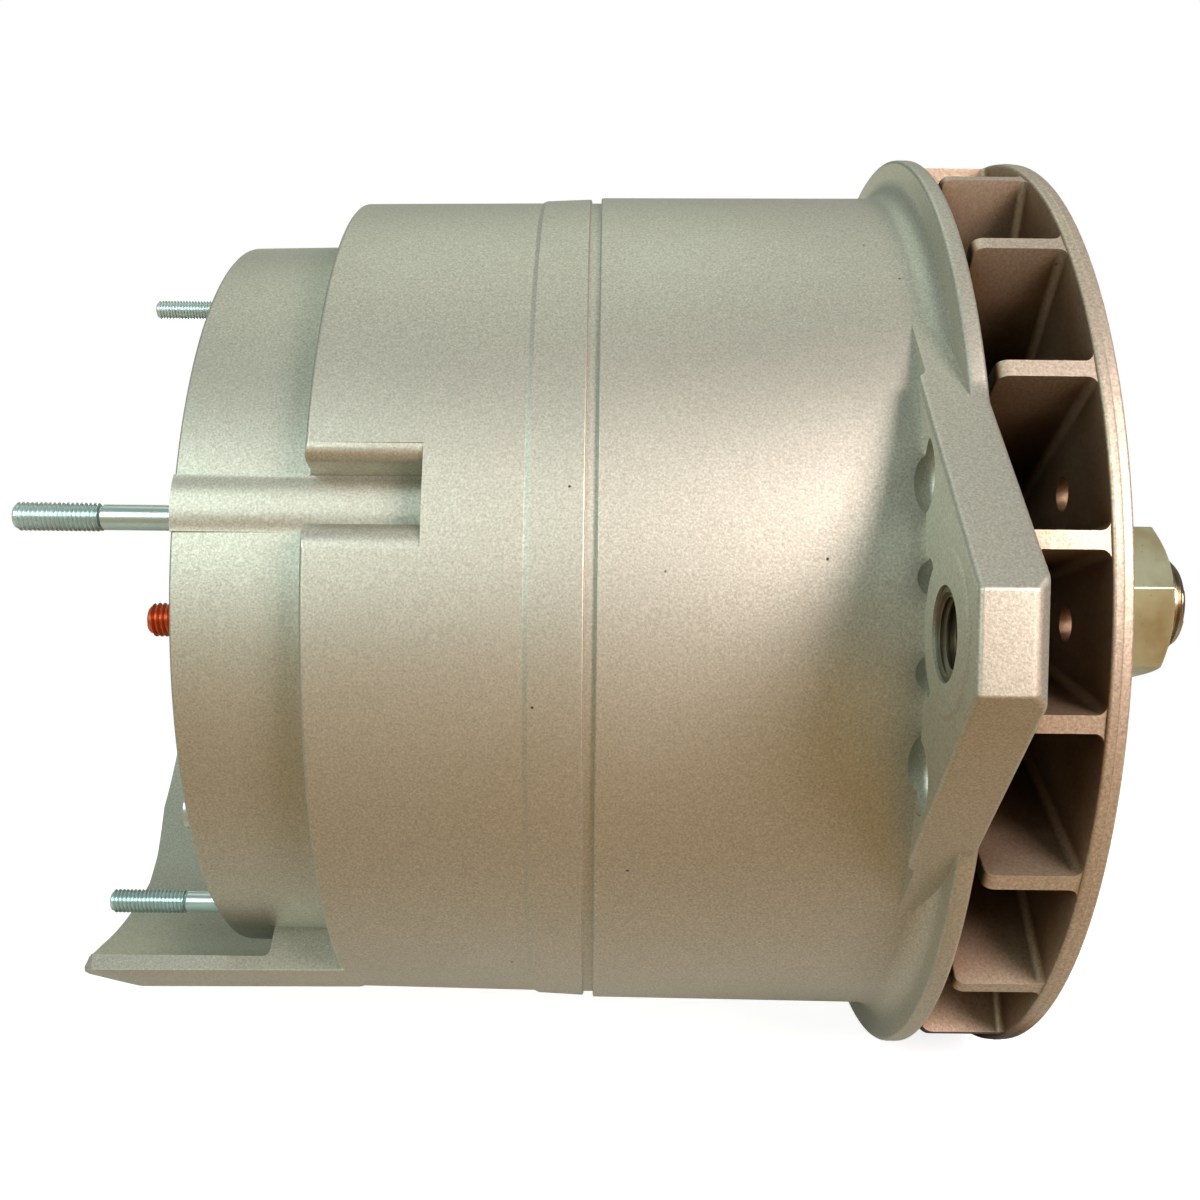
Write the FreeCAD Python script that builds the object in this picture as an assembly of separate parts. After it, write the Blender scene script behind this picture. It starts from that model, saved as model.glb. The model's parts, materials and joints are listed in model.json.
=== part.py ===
"""Heavy-duty alternator with an external fan, as separate pieces in millimetres.

The shaft lies along X with the drive end at +X, Z is up, and the tensioning lug points to -Y.
The origin is on the shaft axis, at the plane where a pulley's hub meets the fan.
"""
import FreeCAD, Part
import math
import os

V = FreeCAD.Vector
CENTRE = V(0, 0, 0)
AXIS = V(1, 0, 0)

# Shaft and nut
SEAT_R = 12.5
SEAT_LENGTH = 19.0
FAN_SEAT_R = 13.0
THREAD_R = 12.0
SHAFT_END = 50.0
SHAFT_END_CHAMFER = 1.6
NUT_FACE = 44.5
NUT_THICKNESS = 20.0
NUT_FLATS = 36.0
NUT_TURN = 106.45
NUT_CHAMFER = 1.8
NUT_FACE_RATIO = 0.97
WASHER_THICKNESS = 4.0
WASHER_R = 20.0
THREAD_CLEARANCE = 0.06
CORE_SEAT_R = 16.0
CORE_SEAT_SPARE = 8.0
SHOULDER = 3.0
KEY_WIDTH = 5.0
KEY_HEIGHT = 5.0
KEY_STAND = 2.2
KEYWAY_DEPTH = KEY_HEIGHT - KEY_STAND
KEY_END_GAP = 2.5
TAIL_R = 9.0
TAIL_END = -176.0

# Fan
FAN_HUB_R = 32.0
FAN_HUB_LENGTH = 17.0
FAN_R = 108.0
FAN_DISC_FRONT = -1.0
FAN_DISC_THICKNESS = 4.0
BLADES = 20
BLADE_THICKNESS = 3.5
BLADE_INNER_R = 57.0
BLADE_TIP_R = 107.2
BLADE_END = -23.5
BLADE_CORNER_R = 2.5
BLADE_FIRST = 171.25
BALANCE_HOLE_R = 3.5
BALANCE_CIRCLE_R = 83.0

# Drive-end housing
BARREL_R = 100.0
BARREL_END = -97.8
FLANGE_R = 108.5
FLANGE_THICKNESS = 3.8
FLANGE_FRONT = -25.7
FLANGE_ROOT_R = 5.0
BARREL_WALL = 8.0
FRONT_WALL_THICKNESS = 6.0
FRONT_WALL_FACE = -32.0
FRONT_HUB_FACE = -30.0
FRONT_HUB_R = 47.0
FRONT_WINDOWS = 10
FRONT_WINDOW_SPAN = 24.0
FRONT_WINDOW_R = (54.0, 83.0)
SEAL_WIDTH = 7.0
FRONT_HUB_LIP = 2.0
SPACER_WALL = 2.5
SEAL_R = 26.0

# Tensioning lug
LUG_THICKNESS = 12.3
LUG_REACH = 139.0
LUG_END_WIDTH = 17.3
LUG_ROOT_R = 97.0
LUG_HOLE_MARGIN = 18.5
LUG_THREAD_R = 6.19
INSERT_R = 8.4
LUG_CHAMFER = 2.5
LUG_EDGE_R = 1.0
POCKETS = ((5.0, 9.0, 3.3), (17.0, 16.5, 4.2))
POCKET_INNER_R = 99.4

# Bearings
FRONT_BEARING_R = 36.0
FRONT_BEARING_BORE_R = 15.0
FRONT_BEARING_WIDTH = 19.0
BALLS = 8
BALL_R = 6.15
BALL_GAP = 0.06
GROOVE_RATIO = 1.04
LAND_DEPTH = 1.1
BALL_CAGE_THICKNESS = 3.6
BALL_CAGE_WIDTH = 15.0
CAGE_POCKET_GAP = 0.2
REAR_BEARING_R = 26.0
REAR_BEARING_BORE_R = 10.0
REAR_BEARING_WIDTH = 15.0
REAR_BEARING_FACE = -150.0
CAGE_CUT = 8.0
ROLLERS = 10
ROLLER_R = 4.0
ROLLER_LENGTH = 10.0
ROLLER_GAP = 0.06
INNER_RACE_R = 14.3
ROLLER_CAGE_THICKNESS = 2.4
ROLLER_CAGE_WIDTH = 13.0

# Slip-ring-end housing
LIP_R = 98.0
LIP_END = -95.0
REAR_FACE_OF_GROOVE = -100.05
SPIGOT_CLEARANCE = 0.05
BEAD_R = 98.9
BEAD_END = -110.6
REAR_BARREL_R = (97.9, 97.3)
STEP_X = -153.7
TAIL_BARREL_R = (87.3, 86.6)
REAR_EDGE = -181.4
REAR_WALL_FACES = (-152.0, -146.0)
BAY_R = 80.0
WINDING_SPACE_R = 91.5
REAR_HUB_WALL = 5.0
REAR_LIP_R = 20.0
REAR_WINDOWS = 6
REAR_WINDOW_SPAN = 30.0
REAR_WINDOW_R = (40.0, 68.0)
NOTCH_END = -131.0
NOTCH_ANGLES = (159.75, 171.25)
NOTCH_EDGE_R = (5.0, 3.0)
NOTCH_WALL = 4.0
NOTCH_MARGIN = 3.0
STRIP_R = 4.5
STRIP_AT = (84.8, 166.0)
GUARD_ANGLES = (235.75, 367.25)
GUARD_WALL = 5.3
GUARD_WEB_END = -170.4
GUARD_WEB_BITE = 2.0
GUARD_END = ((-209.0, -55.0), (-215.5, -41.0), (-220.7, -27.0), (-224.6, -9.0), (-227.0, 12.0),
             (-229.0, 36.0), (-231.0, 64.0))
GUARD_BEVEL = ((-209.0, -54.8, -80.4), (-204.7, -27.0, -93.5), (-226.0, 5.0, -93.4))
GUARD_SPARE = 20.0

# Rear cover and studs
COVER_R = 82.0
COVER_THICKNESS = 3.0
COVER_CLEARANCE = 0.2
COVER_SLOTS = 18
COVER_SLOT_WIDTH = 6.0
COVER_SLOT_R = (47.0, 70.0)
COVER_SCREWS = (35.0, 125.0, 215.0, 305.0)
COVER_SCREW_CIRCLE_R = 76.0
COVER_BOSS_WALL = 2.5
COVER_BOSS = 10.0
COVER_BITE = 8.0
STUD_M8 = (4.0, 26.0, 19.6, -259.5, 25.0)
STUD_COPPER = (5.0, 49.6, -10.3, -230.0, 45.0)
STUD_M6 = (3.0, -2.35, -80.3, -223.0, 20.0)
STUD_M5 = (2.5, 20.7, 75.9, -218.0, 28.0)
STUD_TIP = 1.0
SHANK_RATIO = 0.9
STUD_ROOT = -160.0
STUD_BOSS_WALL = 4.0
M8_BOSS_STAND = 6.0
COPPER_HEAD = (8.0, 4.0)
BUSH_WALL = 2.4
BUSH_FLANGE = 1.8
BUSH_STAND = 2.2

# Stator
STATOR_R = 88.0
STATOR_CLEARANCE = 0.05
STATOR_ENDS = (-118.0, -66.0)
STOP_R = 85.0
STOP_WIDTH = 4.0
SLOTS = 36
SLOT_WIDTH = 4.8
SLOT_BOTTOM_R = 81.0
SLOT_LINER = 0.25
END_TURN_R = (70.0, 82.0)
END_TURN_LENGTH = 19.0

# Rotor
ROTOR_R = 68.0
AIR_GAP = 0.5
POLE_BASE_THICKNESS = 12.0
POLE_BASE_R = 50.0
CLAWS = 6
CLAW_LENGTH = 49.0
CLAW_ROOT_WIDTH = 36.0
CLAW_TIP_WIDTH = 18.0
CLAW_TIP_THICKNESS = 4.5
CLAW_ROOT_THICKNESS = 13.0
CLAW_NECK = 8.0
POLE_CORE_R = 28.0
COIL_R = 51.0
BOBBIN_WALL = 1.2
BOBBIN_RIM = 1.0
SLIP_RING_R = 16.0
SLIP_RING_WALL = 3.0
SLIP_RING_WIDTH = 7.0
SLIP_RING_STAND = 1.0
SLIP_RING_AT = (-159.5, -168.5)
SLIP_INSULATOR_ENDS = (-174.0, -153.5)

# Brushes
BRUSH = (5.0, 8.0)
BRUSH_LENGTH = 18.0
BRUSH_GAP = 0.1
GUIDE_CLEARANCE = 0.1
BRUSH_SPRING_LENGTH = 14.0
BRUSH_CAP = 4.0
GUIDE_WALL = 1.9
GUIDE_START = 20.0
SPRING_R = 1.9
SPRING_WIRE = 0.8
SPRING_TURNS = 5
SPRING_END_RATIO = 0.65

HOLDER_FLANGE = (13.2, 28.0, 42.0, 4.0)
HOLDER_SCREWS = ((-9.5, 34.0), (9.5, 34.0))
REGULATOR = (-174.0, -18.0, 12.0, 16.0)
REGULATOR_EDGE_R = 1.5
REGULATOR_SCREWS = ((-6.0, 60.5), (6.0, 60.5))
FINE_SCREW = (2.0, 3.5, 3.0)

# Screws and rectifier
HOUSING_SCREWS = 6
HOUSING_SCREW_FIRST = 15.0
HOUSING_SCREW_CIRCLE_R = 91.9
HOUSING_SCREW_R = 2.5
HOUSING_SCREW_HEAD = (4.25, 5.0)
HOUSING_SCREW_SEAT = -34.0
HOUSING_SCREW_END = -119.0
HOUSING_SCREW_BOSS_WALL = 2.6
HEAD_CLEARANCE = 0.25
HOLE_CLEARANCE = 0.25
RETAINER_SCREWS = 4
RETAINER_CIRCLE_R = 41.5
RETAINER_THICKNESS = 3.0
RETAINER_STEP = 1.0
RETAINER_LIP = 3.0
SMALL_SCREW = (2.5, 4.2, 3.5)
HEAT_SINK_R = (42.0, 77.5)
HEAT_SINK_THICKNESS = 4.0
SINK_START = -78.0
POSITIVE_SWEEP = 98.0
NEGATIVE_SWEEP = 141.0
SINK_GAP = 24.0
SINK_MARGIN = 4.0
DIODE_MARGIN = 9.0
POSITIVE_STAND = 8.0
DIODE_R = 6.35
DIODE_LENGTH = 9.0
DIODE_WIRE_R = 1.0
DIODE_WIRE_LENGTH = 5.0
DIODE_CIRCLE_R = 64.0
DIODES = 6
SINK_SCREWS = 3
SINK_SCREW_CIRCLE_R = 74.5
POST_R = 3.4

# Pivot foot
FOOT_AT = 122.0
FOOT_BOSS_R = 17.0
FOOT_ROOT = (94.0, 22.0)
FRONT_FOOT_X = (-66.0, -40.0)
REAR_FOOT_X = (-140.0, -114.0)
FOOT_BORE_R = 7.1
FOOT_BUSH_R = 10.0

FLANGE_BACK = FLANGE_FRONT - FLANGE_THICKNESS
LUG_HOLE_AT = LUG_REACH - LUG_HOLE_MARGIN
FRONT_WALL_BACK = FRONT_WALL_FACE - FRONT_WALL_THICKNESS
FRONT_BEARING_FACE = FRONT_HUB_FACE - SEAL_WIDTH - FRONT_HUB_LIP
FRONT_BEARING_BACK = FRONT_BEARING_FACE - FRONT_BEARING_WIDTH
REAR_BEARING_FRONT = REAR_BEARING_FACE + REAR_BEARING_WIDTH
FAN_HUB_BACK = -FAN_HUB_LENGTH
NUT_BACK = NUT_FACE - NUT_THICKNESS
WASHER_BACK = NUT_BACK - WASHER_THICKNESS
SPACER_R = FRONT_BEARING_BORE_R + SPACER_WALL
COVER_BACK = REAR_EDGE + COVER_THICKNESS
POLE_INNER_FACES = (STATOR_ENDS[0] + POLE_BASE_THICKNESS, STATOR_ENDS[1] - POLE_BASE_THICKNESS)
BRUSH_FOOT = SLIP_RING_R + BRUSH_GAP
BRUSH_TOP = BRUSH_FOOT + BRUSH_LENGTH
SPRING_TOP = BRUSH_TOP + BRUSH_SPRING_LENGTH
HOLDER_TOP = SPRING_TOP + BRUSH_CAP
SINK_BACK = REAR_WALL_FACES[0]
POSITIVE_FACE = SINK_BACK - POSITIVE_STAND
M8_BOSS_FACE = REAR_WALL_FACES[0] - M8_BOSS_STAND
STUDS_IN_HOUSING = (STUD_M6[:3], STUD_M5[:3])
STUDS_IN_COVER = (STUD_M8[:3], STUD_COPPER[:3])



def spread(span, margin, count):
    """Angles spaced evenly over a span, with a margin at each end."""
    start, end = span
    step = (end - start - 2 * margin) / (count - 1)
    return [start + margin + step * i for i in range(count)]


POSITIVE_SPAN = (SINK_START, SINK_START + POSITIVE_SWEEP)
NEGATIVE_SPAN = (SINK_START + 360 - SINK_GAP - NEGATIVE_SWEEP, SINK_START + 360 - SINK_GAP)
POSITIVE_DIODES = spread(POSITIVE_SPAN, DIODE_MARGIN, DIODES)
NEGATIVE_DIODES = spread(NEGATIVE_SPAN, DIODE_MARGIN, DIODES)
POSITIVE_SCREWS = spread(POSITIVE_SPAN, SINK_MARGIN, SINK_SCREWS)
NEGATIVE_SCREWS = spread(NEGATIVE_SPAN, SINK_MARGIN, SINK_SCREWS)


# Shape helpers
def closed_wire(corners):
    """Closed wire in the XY plane through corners (x, y), or (x, y, size) for a corner that is
    rounded to a radius, or bevelled where the size is negative."""
    stretches = []
    for i, corner in enumerate(corners):
        here = V(corner[0], corner[1], 0)
        size = corner[2] if len(corner) > 2 else 0
        if not size:
            stretches.append((here, None, here))
            continue
        last = corners[i - 1]
        following = corners[(i + 1) % len(corners)]
        back = (V(last[0], last[1], 0) - here).normalize()
        ahead = (V(following[0], following[1], 0) - here).normalize()
        if size < 0:
            stretches.append((here - back * size, "bevel", here - ahead * size))
            continue
        half = math.acos(back.dot(ahead)) / 2
        reach = size / math.tan(half)
        middle = here + (back + ahead).normalize() * (size / math.sin(half) - size)
        stretches.append((here + back * reach, middle, here + ahead * reach))
    edges = []
    for i, (start, middle, end) in enumerate(stretches):
        if middle == "bevel":
            edges.append(Part.LineSegment(start, end).toShape())
        elif middle:
            edges.append(Part.Arc(start, middle, end).toShape())
        onward = stretches[(i + 1) % len(stretches)][0]
        if (onward - end).Length > 1e-6:
            edges.append(Part.LineSegment(end, onward).toShape())
    return Part.Wire(edges)


def turned(corners):
    """Solid turned about the shaft axis from an outline of (x, radius) corners."""
    return Part.Face(closed_wire(corners)).revolve(CENTRE, AXIS, 360)


def plate(corners, x0, x1):
    """Plate across the axis, from an outline of (y, z) corners."""
    face = Part.Face(closed_wire(corners))
    face.Placement = FreeCAD.Placement(V(x0, 0, 0), FreeCAD.Rotation(V(1, 1, 1), 120))
    return face.extrude(V(x1 - x0, 0, 0))


def rod(radius, x0, x1, y=0.0, z=0.0):
    """Cylinder along X."""
    return Part.makeCylinder(radius, x1 - x0, V(x0, y, z), AXIS)


def tube(outer, inner, x0, x1, y=0.0, z=0.0):
    """Ring along X."""
    return rod(outer, x0, x1, y, z).cut(rod(inner, x0, x1, y, z))


def block(x0, x1, y0, y1, z0, z1):
    """Rectangular block between two corners."""
    return Part.makeBox(x1 - x0, y1 - y0, z1 - z0, V(x0, y0, z0))


def arc_block(inner, outer, x0, x1, start, end):
    """Part of a ring between two angles, counted from +Y towards +Z."""
    face = Part.Face(closed_wire([(x0, inner), (x1, inner), (x1, outer), (x0, outer)]))
    face.rotate(CENTRE, AXIS, start)
    return face.revolve(CENTRE, AXIS, end - start)


def at(radius, angle):
    """The y and z of a point at a radius and an angle."""
    return radius * math.cos(math.radians(angle)), radius * math.sin(math.radians(angle))


def turn(shape, angle):
    """Copy of a shape turned about the shaft axis."""
    copy = shape.copy()
    copy.rotate(CENTRE, AXIS, angle)
    return copy


def around(shape, count, first=0.0):
    """Copies of a shape spaced evenly about the shaft axis."""
    return [turn(shape, first + 360.0 * i / count) for i in range(count)]


def joined(shapes):
    """One shape fused from several, with its seams cleaned away."""
    shapes = list(shapes)
    return shapes[0].fuse(shapes[1:]).removeSplitter()


def socket_screw(radius, head, seat, end, y, z):
    """Screw along X from its seat to its end, with a round socket head behind the seat."""
    head_r, head_length = head
    top = seat - math.copysign(head_length, end - seat)
    socket_floor = (seat + top) / 2
    shape = joined([rod(radius, min(seat, end), max(seat, end), y, z),
                    rod(head_r, min(seat, top), max(seat, top), y, z)])
    hexagon = [(y + a, z + b) for a, b in (at(radius * 0.95, 60 * i) for i in range(6))]
    return shape.cut(plate(hexagon, top, socket_floor))


def save(shapes):
    """Write one STEP file for each named piece."""
    os.makedirs("parts", exist_ok=True)
    for name, shape in shapes.items():
        if isinstance(shape, list):
            shape = Part.makeCompound(shape)
        shape.exportStep("parts/" + name + ".step")


# Places that several pieces share
def housing_screw_places():
    """Angle, y and z of each long screw."""
    angles = [180 + HOUSING_SCREW_FIRST + 360 / HOUSING_SCREWS * i for i in range(HOUSING_SCREWS)]
    return [(angle, *at(HOUSING_SCREW_CIRCLE_R, angle)) for angle in angles]


def retainer_places():
    """The y and z of each bearing retainer screw."""
    return [at(RETAINER_CIRCLE_R, 45 + 360 / RETAINER_SCREWS * i) for i in range(RETAINER_SCREWS)]


# Drive-end housing
def lug():
    """Plate lug with a flat end, its sides tangent to the barrel."""
    half = LUG_END_WIDTH / 2
    distance = math.hypot(LUG_REACH, half)
    lean = math.degrees(math.atan2(half, LUG_REACH) + math.acos(LUG_ROOT_R / distance))
    upper = at(LUG_ROOT_R, 180 - lean)
    lower = at(LUG_ROOT_R, 180 + lean)
    outline = [upper, (-LUG_REACH, half, LUG_EDGE_R), (-LUG_REACH, -half, LUG_EDGE_R), lower]
    shape = plate(outline, FLANGE_FRONT - LUG_THICKNESS, FLANGE_FRONT)
    edge = closed_wire([(FLANGE_FRONT - LUG_CHAMFER - 1, -LUG_REACH - 1),
                        (FLANGE_FRONT + 1, -LUG_REACH - 1),
                        (FLANGE_FRONT + 1, LUG_CHAMFER - LUG_REACH + 1)])
    corner = Part.Face(edge).extrude(V(0, 0, 2 * LUG_END_WIDTH))
    corner.translate(V(0, 0, -LUG_END_WIDTH))
    inside = rod(BARREL_R - BARREL_WALL + 2, FLANGE_FRONT - LUG_THICKNESS, FLANGE_FRONT)
    return shape.cut([corner, inside])


def pocket(angle, height, radius):
    """Round-bottomed hollow cored between the lug and the barrel."""
    centre = V(FLANGE_FRONT - LUG_THICKNESS, -(POCKET_INNER_R + radius), 0)
    straight = height / 2 - radius
    low = centre - V(0, 0, straight)
    high = centre + V(0, 0, straight)
    shape = Part.makeCylinder(radius, 2 * straight, low, V(0, 0, 1))
    shape = joined([shape, Part.makeSphere(radius, low), Part.makeSphere(radius, high)])
    return turn(shape, angle)


def foot(x0, x1):
    """Pivot ear on the side away from the lug, with a round end."""
    root_y, root_z = at(*FOOT_ROOT)
    distance = math.hypot(FOOT_AT - root_y, root_z)
    lean = math.atan2(root_z, root_y - FOOT_AT) - math.acos(FOOT_BOSS_R / distance)
    tangent_y = FOOT_AT + FOOT_BOSS_R * math.cos(lean)
    tangent_z = FOOT_BOSS_R * math.sin(lean)
    outline = [(root_y, root_z), (root_y, -root_z), (tangent_y, -tangent_z), (tangent_y, tangent_z)]
    shape = plate(outline, x0, x1).fuse(rod(FOOT_BOSS_R, x0, x1, FOOT_AT, 0))
    shape = shape.cut(rod(BARREL_R - BARREL_WALL + 2, x0, x1))
    return shape.cut(rod(FOOT_BUSH_R, x0, x1, FOOT_AT, 0)).removeSplitter()


def drive_end_housing():
    """Barrel, front flange, windowed front wall, bearing hub, lug and front foot."""
    space = BARREL_R - BARREL_WALL
    shape = turned([
        (BARREL_END, LIP_R + SPIGOT_CLEARANCE), (BARREL_END, BARREL_R),
        (FLANGE_BACK, BARREL_R, FLANGE_ROOT_R), (FLANGE_BACK, FLANGE_R, -0.7),
        (FLANGE_FRONT, FLANGE_R, -0.7), (FLANGE_FRONT, space), (FRONT_WALL_FACE, space),
        (FRONT_WALL_FACE, FRONT_HUB_R), (FRONT_HUB_FACE, FRONT_HUB_R),
        (FRONT_HUB_FACE, SEAL_R), (FRONT_BEARING_FACE, SEAL_R),
        (FRONT_BEARING_FACE, FRONT_BEARING_R), (FRONT_BEARING_BACK, FRONT_BEARING_R),
        (FRONT_BEARING_BACK, FRONT_HUB_R), (FRONT_WALL_BACK, FRONT_HUB_R, -3.0),
        (FRONT_WALL_BACK, space), (STATOR_ENDS[1] + STOP_WIDTH, space),
        (STATOR_ENDS[1] + STOP_WIDTH, STOP_R), (STATOR_ENDS[1], STOP_R),
        (STATOR_ENDS[1], STATOR_R), (LIP_END, STATOR_R), (LIP_END, LIP_R + SPIGOT_CLEARANCE)])
    bosses = [rod(HOUSING_SCREW_R + HOUSING_SCREW_BOSS_WALL, STATOR_ENDS[1] + 1, FRONT_WALL_FACE - 1, y, z)
              for _, y, z in housing_screw_places()]
    shape = joined([shape, lug(), foot(*FRONT_FOOT_X)] + bosses)
    window = arc_block(*FRONT_WINDOW_R, FRONT_WALL_BACK - 1, FRONT_WALL_FACE + 1,
                       -FRONT_WINDOW_SPAN / 2, FRONT_WINDOW_SPAN / 2)
    cuts = around(window, FRONT_WINDOWS, 180 / FRONT_WINDOWS)
    cuts += [pocket(side * angle, height, radius)
             for angle, height, radius in POCKETS for side in (1, -1)]
    cuts.append(rod(INSERT_R, FLANGE_FRONT - LUG_THICKNESS, FLANGE_FRONT, -LUG_HOLE_AT, 0))
    for _, y, z in housing_screw_places():
        cuts.append(rod(HOUSING_SCREW_R + HOLE_CLEARANCE, BARREL_END, HOUSING_SCREW_SEAT, y, z))
        cuts.append(rod(HOUSING_SCREW_HEAD[0] + HEAD_CLEARANCE, HOUSING_SCREW_SEAT, FLANGE_FRONT, y, z))
    cuts += [rod(SMALL_SCREW[0], FRONT_BEARING_BACK, FRONT_HUB_FACE, y, z)
             for y, z in retainer_places()]
    return shape.cut(cuts)


# Slip-ring-end housing
def with_notch(shape):
    """The rear barrel with a hollow in its near side, whose long edges are rolled over."""
    reach = REAR_BARREL_R[0] + 5
    shape = shape.cut(arc_block(TAIL_BARREL_R[0], reach, STEP_X - 1, NOTCH_END, *NOTCH_ANGLES))
    for angle, radius in zip(NOTCH_ANGLES, NOTCH_EDGE_R):
        place = V((STEP_X + NOTCH_END) / 2, *at(REAR_BARREL_R[1], angle))
        edge = min(shape.Edges, key=lambda e: e.CenterOfMass.distanceToPoint(place))
        shape = shape.makeFillet(radius, [edge])
    return shape


def guard():
    """Part-round guard that carries the barrel's line past the rear face."""
    start, end = GUARD_ANGLES
    outer = REAR_BARREL_R[1]
    near_x, far_x = GUARD_END[0][0], GUARD_END[-1][0]
    reach = far_x - GUARD_SPARE
    shell = arc_block(outer - GUARD_WALL, outer, reach, STEP_X, start, end)
    web = arc_block(TAIL_BARREL_R[1] - GUARD_WEB_BITE, outer, GUARD_WEB_END, STEP_X + 0.5, start, end)
    side = outer + GUARD_SPARE
    far = reach - GUARD_SPARE
    corners = [(far, -side), (near_x, -side), *GUARD_END, (far_x, side), (far, side)]
    trim = Part.Face(closed_wire(corners)).extrude(V(0, 0, 2 * side))
    trim.translate(V(0, 0, -side))
    near, low, far_point = (V(*point) for point in GUARD_BEVEL)
    inwards = (low - near).cross(far_point - near).normalize()
    bevel = Part.makeCylinder(outer, GUARD_SPARE, low, inwards * -1)
    return joined([shell.cut([trim, bevel]), web])


def slip_ring_end_housing():
    """Rear barrel with bead, step, notch, guard, windowed wall, bearing hub and rear foot."""
    wall_back, wall_front = REAR_WALL_FACES
    hub_r = REAR_BEARING_R + REAR_HUB_WALL
    shape = turned([
        (LIP_END, STATOR_R), (LIP_END, LIP_R), (REAR_FACE_OF_GROOVE, LIP_R),
        (REAR_FACE_OF_GROOVE, BEAD_R, -0.3), (BEAD_END, BEAD_R), (BEAD_END - 1, REAR_BARREL_R[0]),
        (STEP_X, REAR_BARREL_R[1], -0.8), (STEP_X, TAIL_BARREL_R[0], -1.0),
        (REAR_EDGE, TAIL_BARREL_R[1], -0.5), (REAR_EDGE, COVER_R + COVER_CLEARANCE),
        (COVER_BACK, COVER_R + COVER_CLEARANCE), (COVER_BACK, BAY_R), (wall_back, BAY_R),
        (wall_back, REAR_LIP_R), (REAR_BEARING_FACE, REAR_LIP_R),
        (REAR_BEARING_FACE, REAR_BEARING_R), (REAR_BEARING_FRONT + 1, REAR_BEARING_R),
        (REAR_BEARING_FRONT + 1, hub_r), (wall_front, hub_r, -3.0),
        (wall_front, WINDING_SPACE_R), (STATOR_ENDS[0] - STOP_WIDTH, WINDING_SPACE_R),
        (STATOR_ENDS[0] - STOP_WIDTH, STOP_R), (STATOR_ENDS[0], STOP_R),
        (STATOR_ENDS[0], STATOR_R)])
    start, end = NOTCH_ANGLES
    backing = arc_block(TAIL_BARREL_R[0] - NOTCH_WALL, WINDING_SPACE_R + 2, wall_front - 1,
                        NOTCH_END + NOTCH_WALL, start - NOTCH_MARGIN, end + NOTCH_MARGIN)
    adds = [backing, guard(), foot(*REAR_FOOT_X)]
    for radius, y, z in STUDS_IN_HOUSING:
        boss = rod(radius + STUD_BOSS_WALL, COVER_BACK, STUD_ROOT, y, z)
        adds.append(boss.common(rod(TAIL_BARREL_R[1] - 1, COVER_BACK, STUD_ROOT)))
    for angle in COVER_SCREWS:
        place = at(COVER_SCREW_CIRCLE_R, angle)
        adds.append(rod(SMALL_SCREW[0] + COVER_BOSS_WALL, COVER_BACK, COVER_BACK + COVER_BOSS, *place))
    radius, y, z = STUD_M8[:3]
    adds.append(rod(radius + STUD_BOSS_WALL, M8_BOSS_FACE, wall_back + 1, y, z))
    shape = with_notch(joined([shape] + adds))
    strip = rod(STRIP_R, REAR_EDGE, NOTCH_END + 0.5, *at(*STRIP_AT))
    strip = strip.cut(rod(TAIL_BARREL_R[0] - NOTCH_WALL, REAR_EDGE, NOTCH_END + 0.5))
    strip = strip.cut(rod(COVER_R + COVER_CLEARANCE, REAR_EDGE, COVER_BACK))
    shape = joined([shape, strip])
    window = arc_block(*REAR_WINDOW_R, wall_back - 0.5, wall_front + 0.5,
                       -REAR_WINDOW_SPAN / 2, REAR_WINDOW_SPAN / 2)
    cuts = around(window, REAR_WINDOWS)
    cuts += [rod(HOUSING_SCREW_R, HOUSING_SCREW_END, LIP_END, y, z)
             for _, y, z in housing_screw_places()]
    cuts += [rod(FINE_SCREW[0], wall_back, wall_front, y, z)
             for y, z in HOLDER_SCREWS + REGULATOR_SCREWS]
    cuts += [rod(SMALL_SCREW[0], wall_back, wall_front, *at(SINK_SCREW_CIRCLE_R, angle))
             for angle in POSITIVE_SCREWS + NEGATIVE_SCREWS]
    cuts += [rod(radius, REAR_EDGE, STUD_ROOT, y, z) for radius, y, z in STUDS_IN_HOUSING]
    cuts.append(rod(STUD_M8[0], M8_BOSS_FACE, wall_front, *STUD_M8[1:3]))
    cuts += [rod(SMALL_SCREW[0], COVER_BACK, COVER_BACK + COVER_BITE, *at(COVER_SCREW_CIRCLE_R, angle))
             for angle in COVER_SCREWS]
    return shape.cut(cuts)


# Stator
def stator_core():
    """Laminated ring with slots that open into the bore."""
    shape = tube(STATOR_R - STATOR_CLEARANCE, ROTOR_R + AIR_GAP, *STATOR_ENDS)
    half = SLOT_WIDTH / 2
    return shape.cut(around(block(*STATOR_ENDS, ROTOR_R, SLOT_BOTTOM_R, -half, half), SLOTS))


def stator_winding():
    """Bars in the slots, and the bundle of end turns on each side of the core."""
    inner, outer = END_TURN_R
    back, front = STATOR_ENDS
    half = SLOT_WIDTH / 2 - SLOT_LINER
    bar = block(back - 2, front + 2, inner, SLOT_BOTTOM_R - SLOT_LINER, -half, half)
    bundles = []
    for start, way in ((back - SLOT_LINER, -1), (front + SLOT_LINER, 1)):
        end = start + way * END_TURN_LENGTH
        bundles.append(turned([(start, inner), (end, inner, -4.0), (end, outer, -4.0),
                               (start, outer)]))
    return joined(bundles + around(bar, SLOTS))


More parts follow.
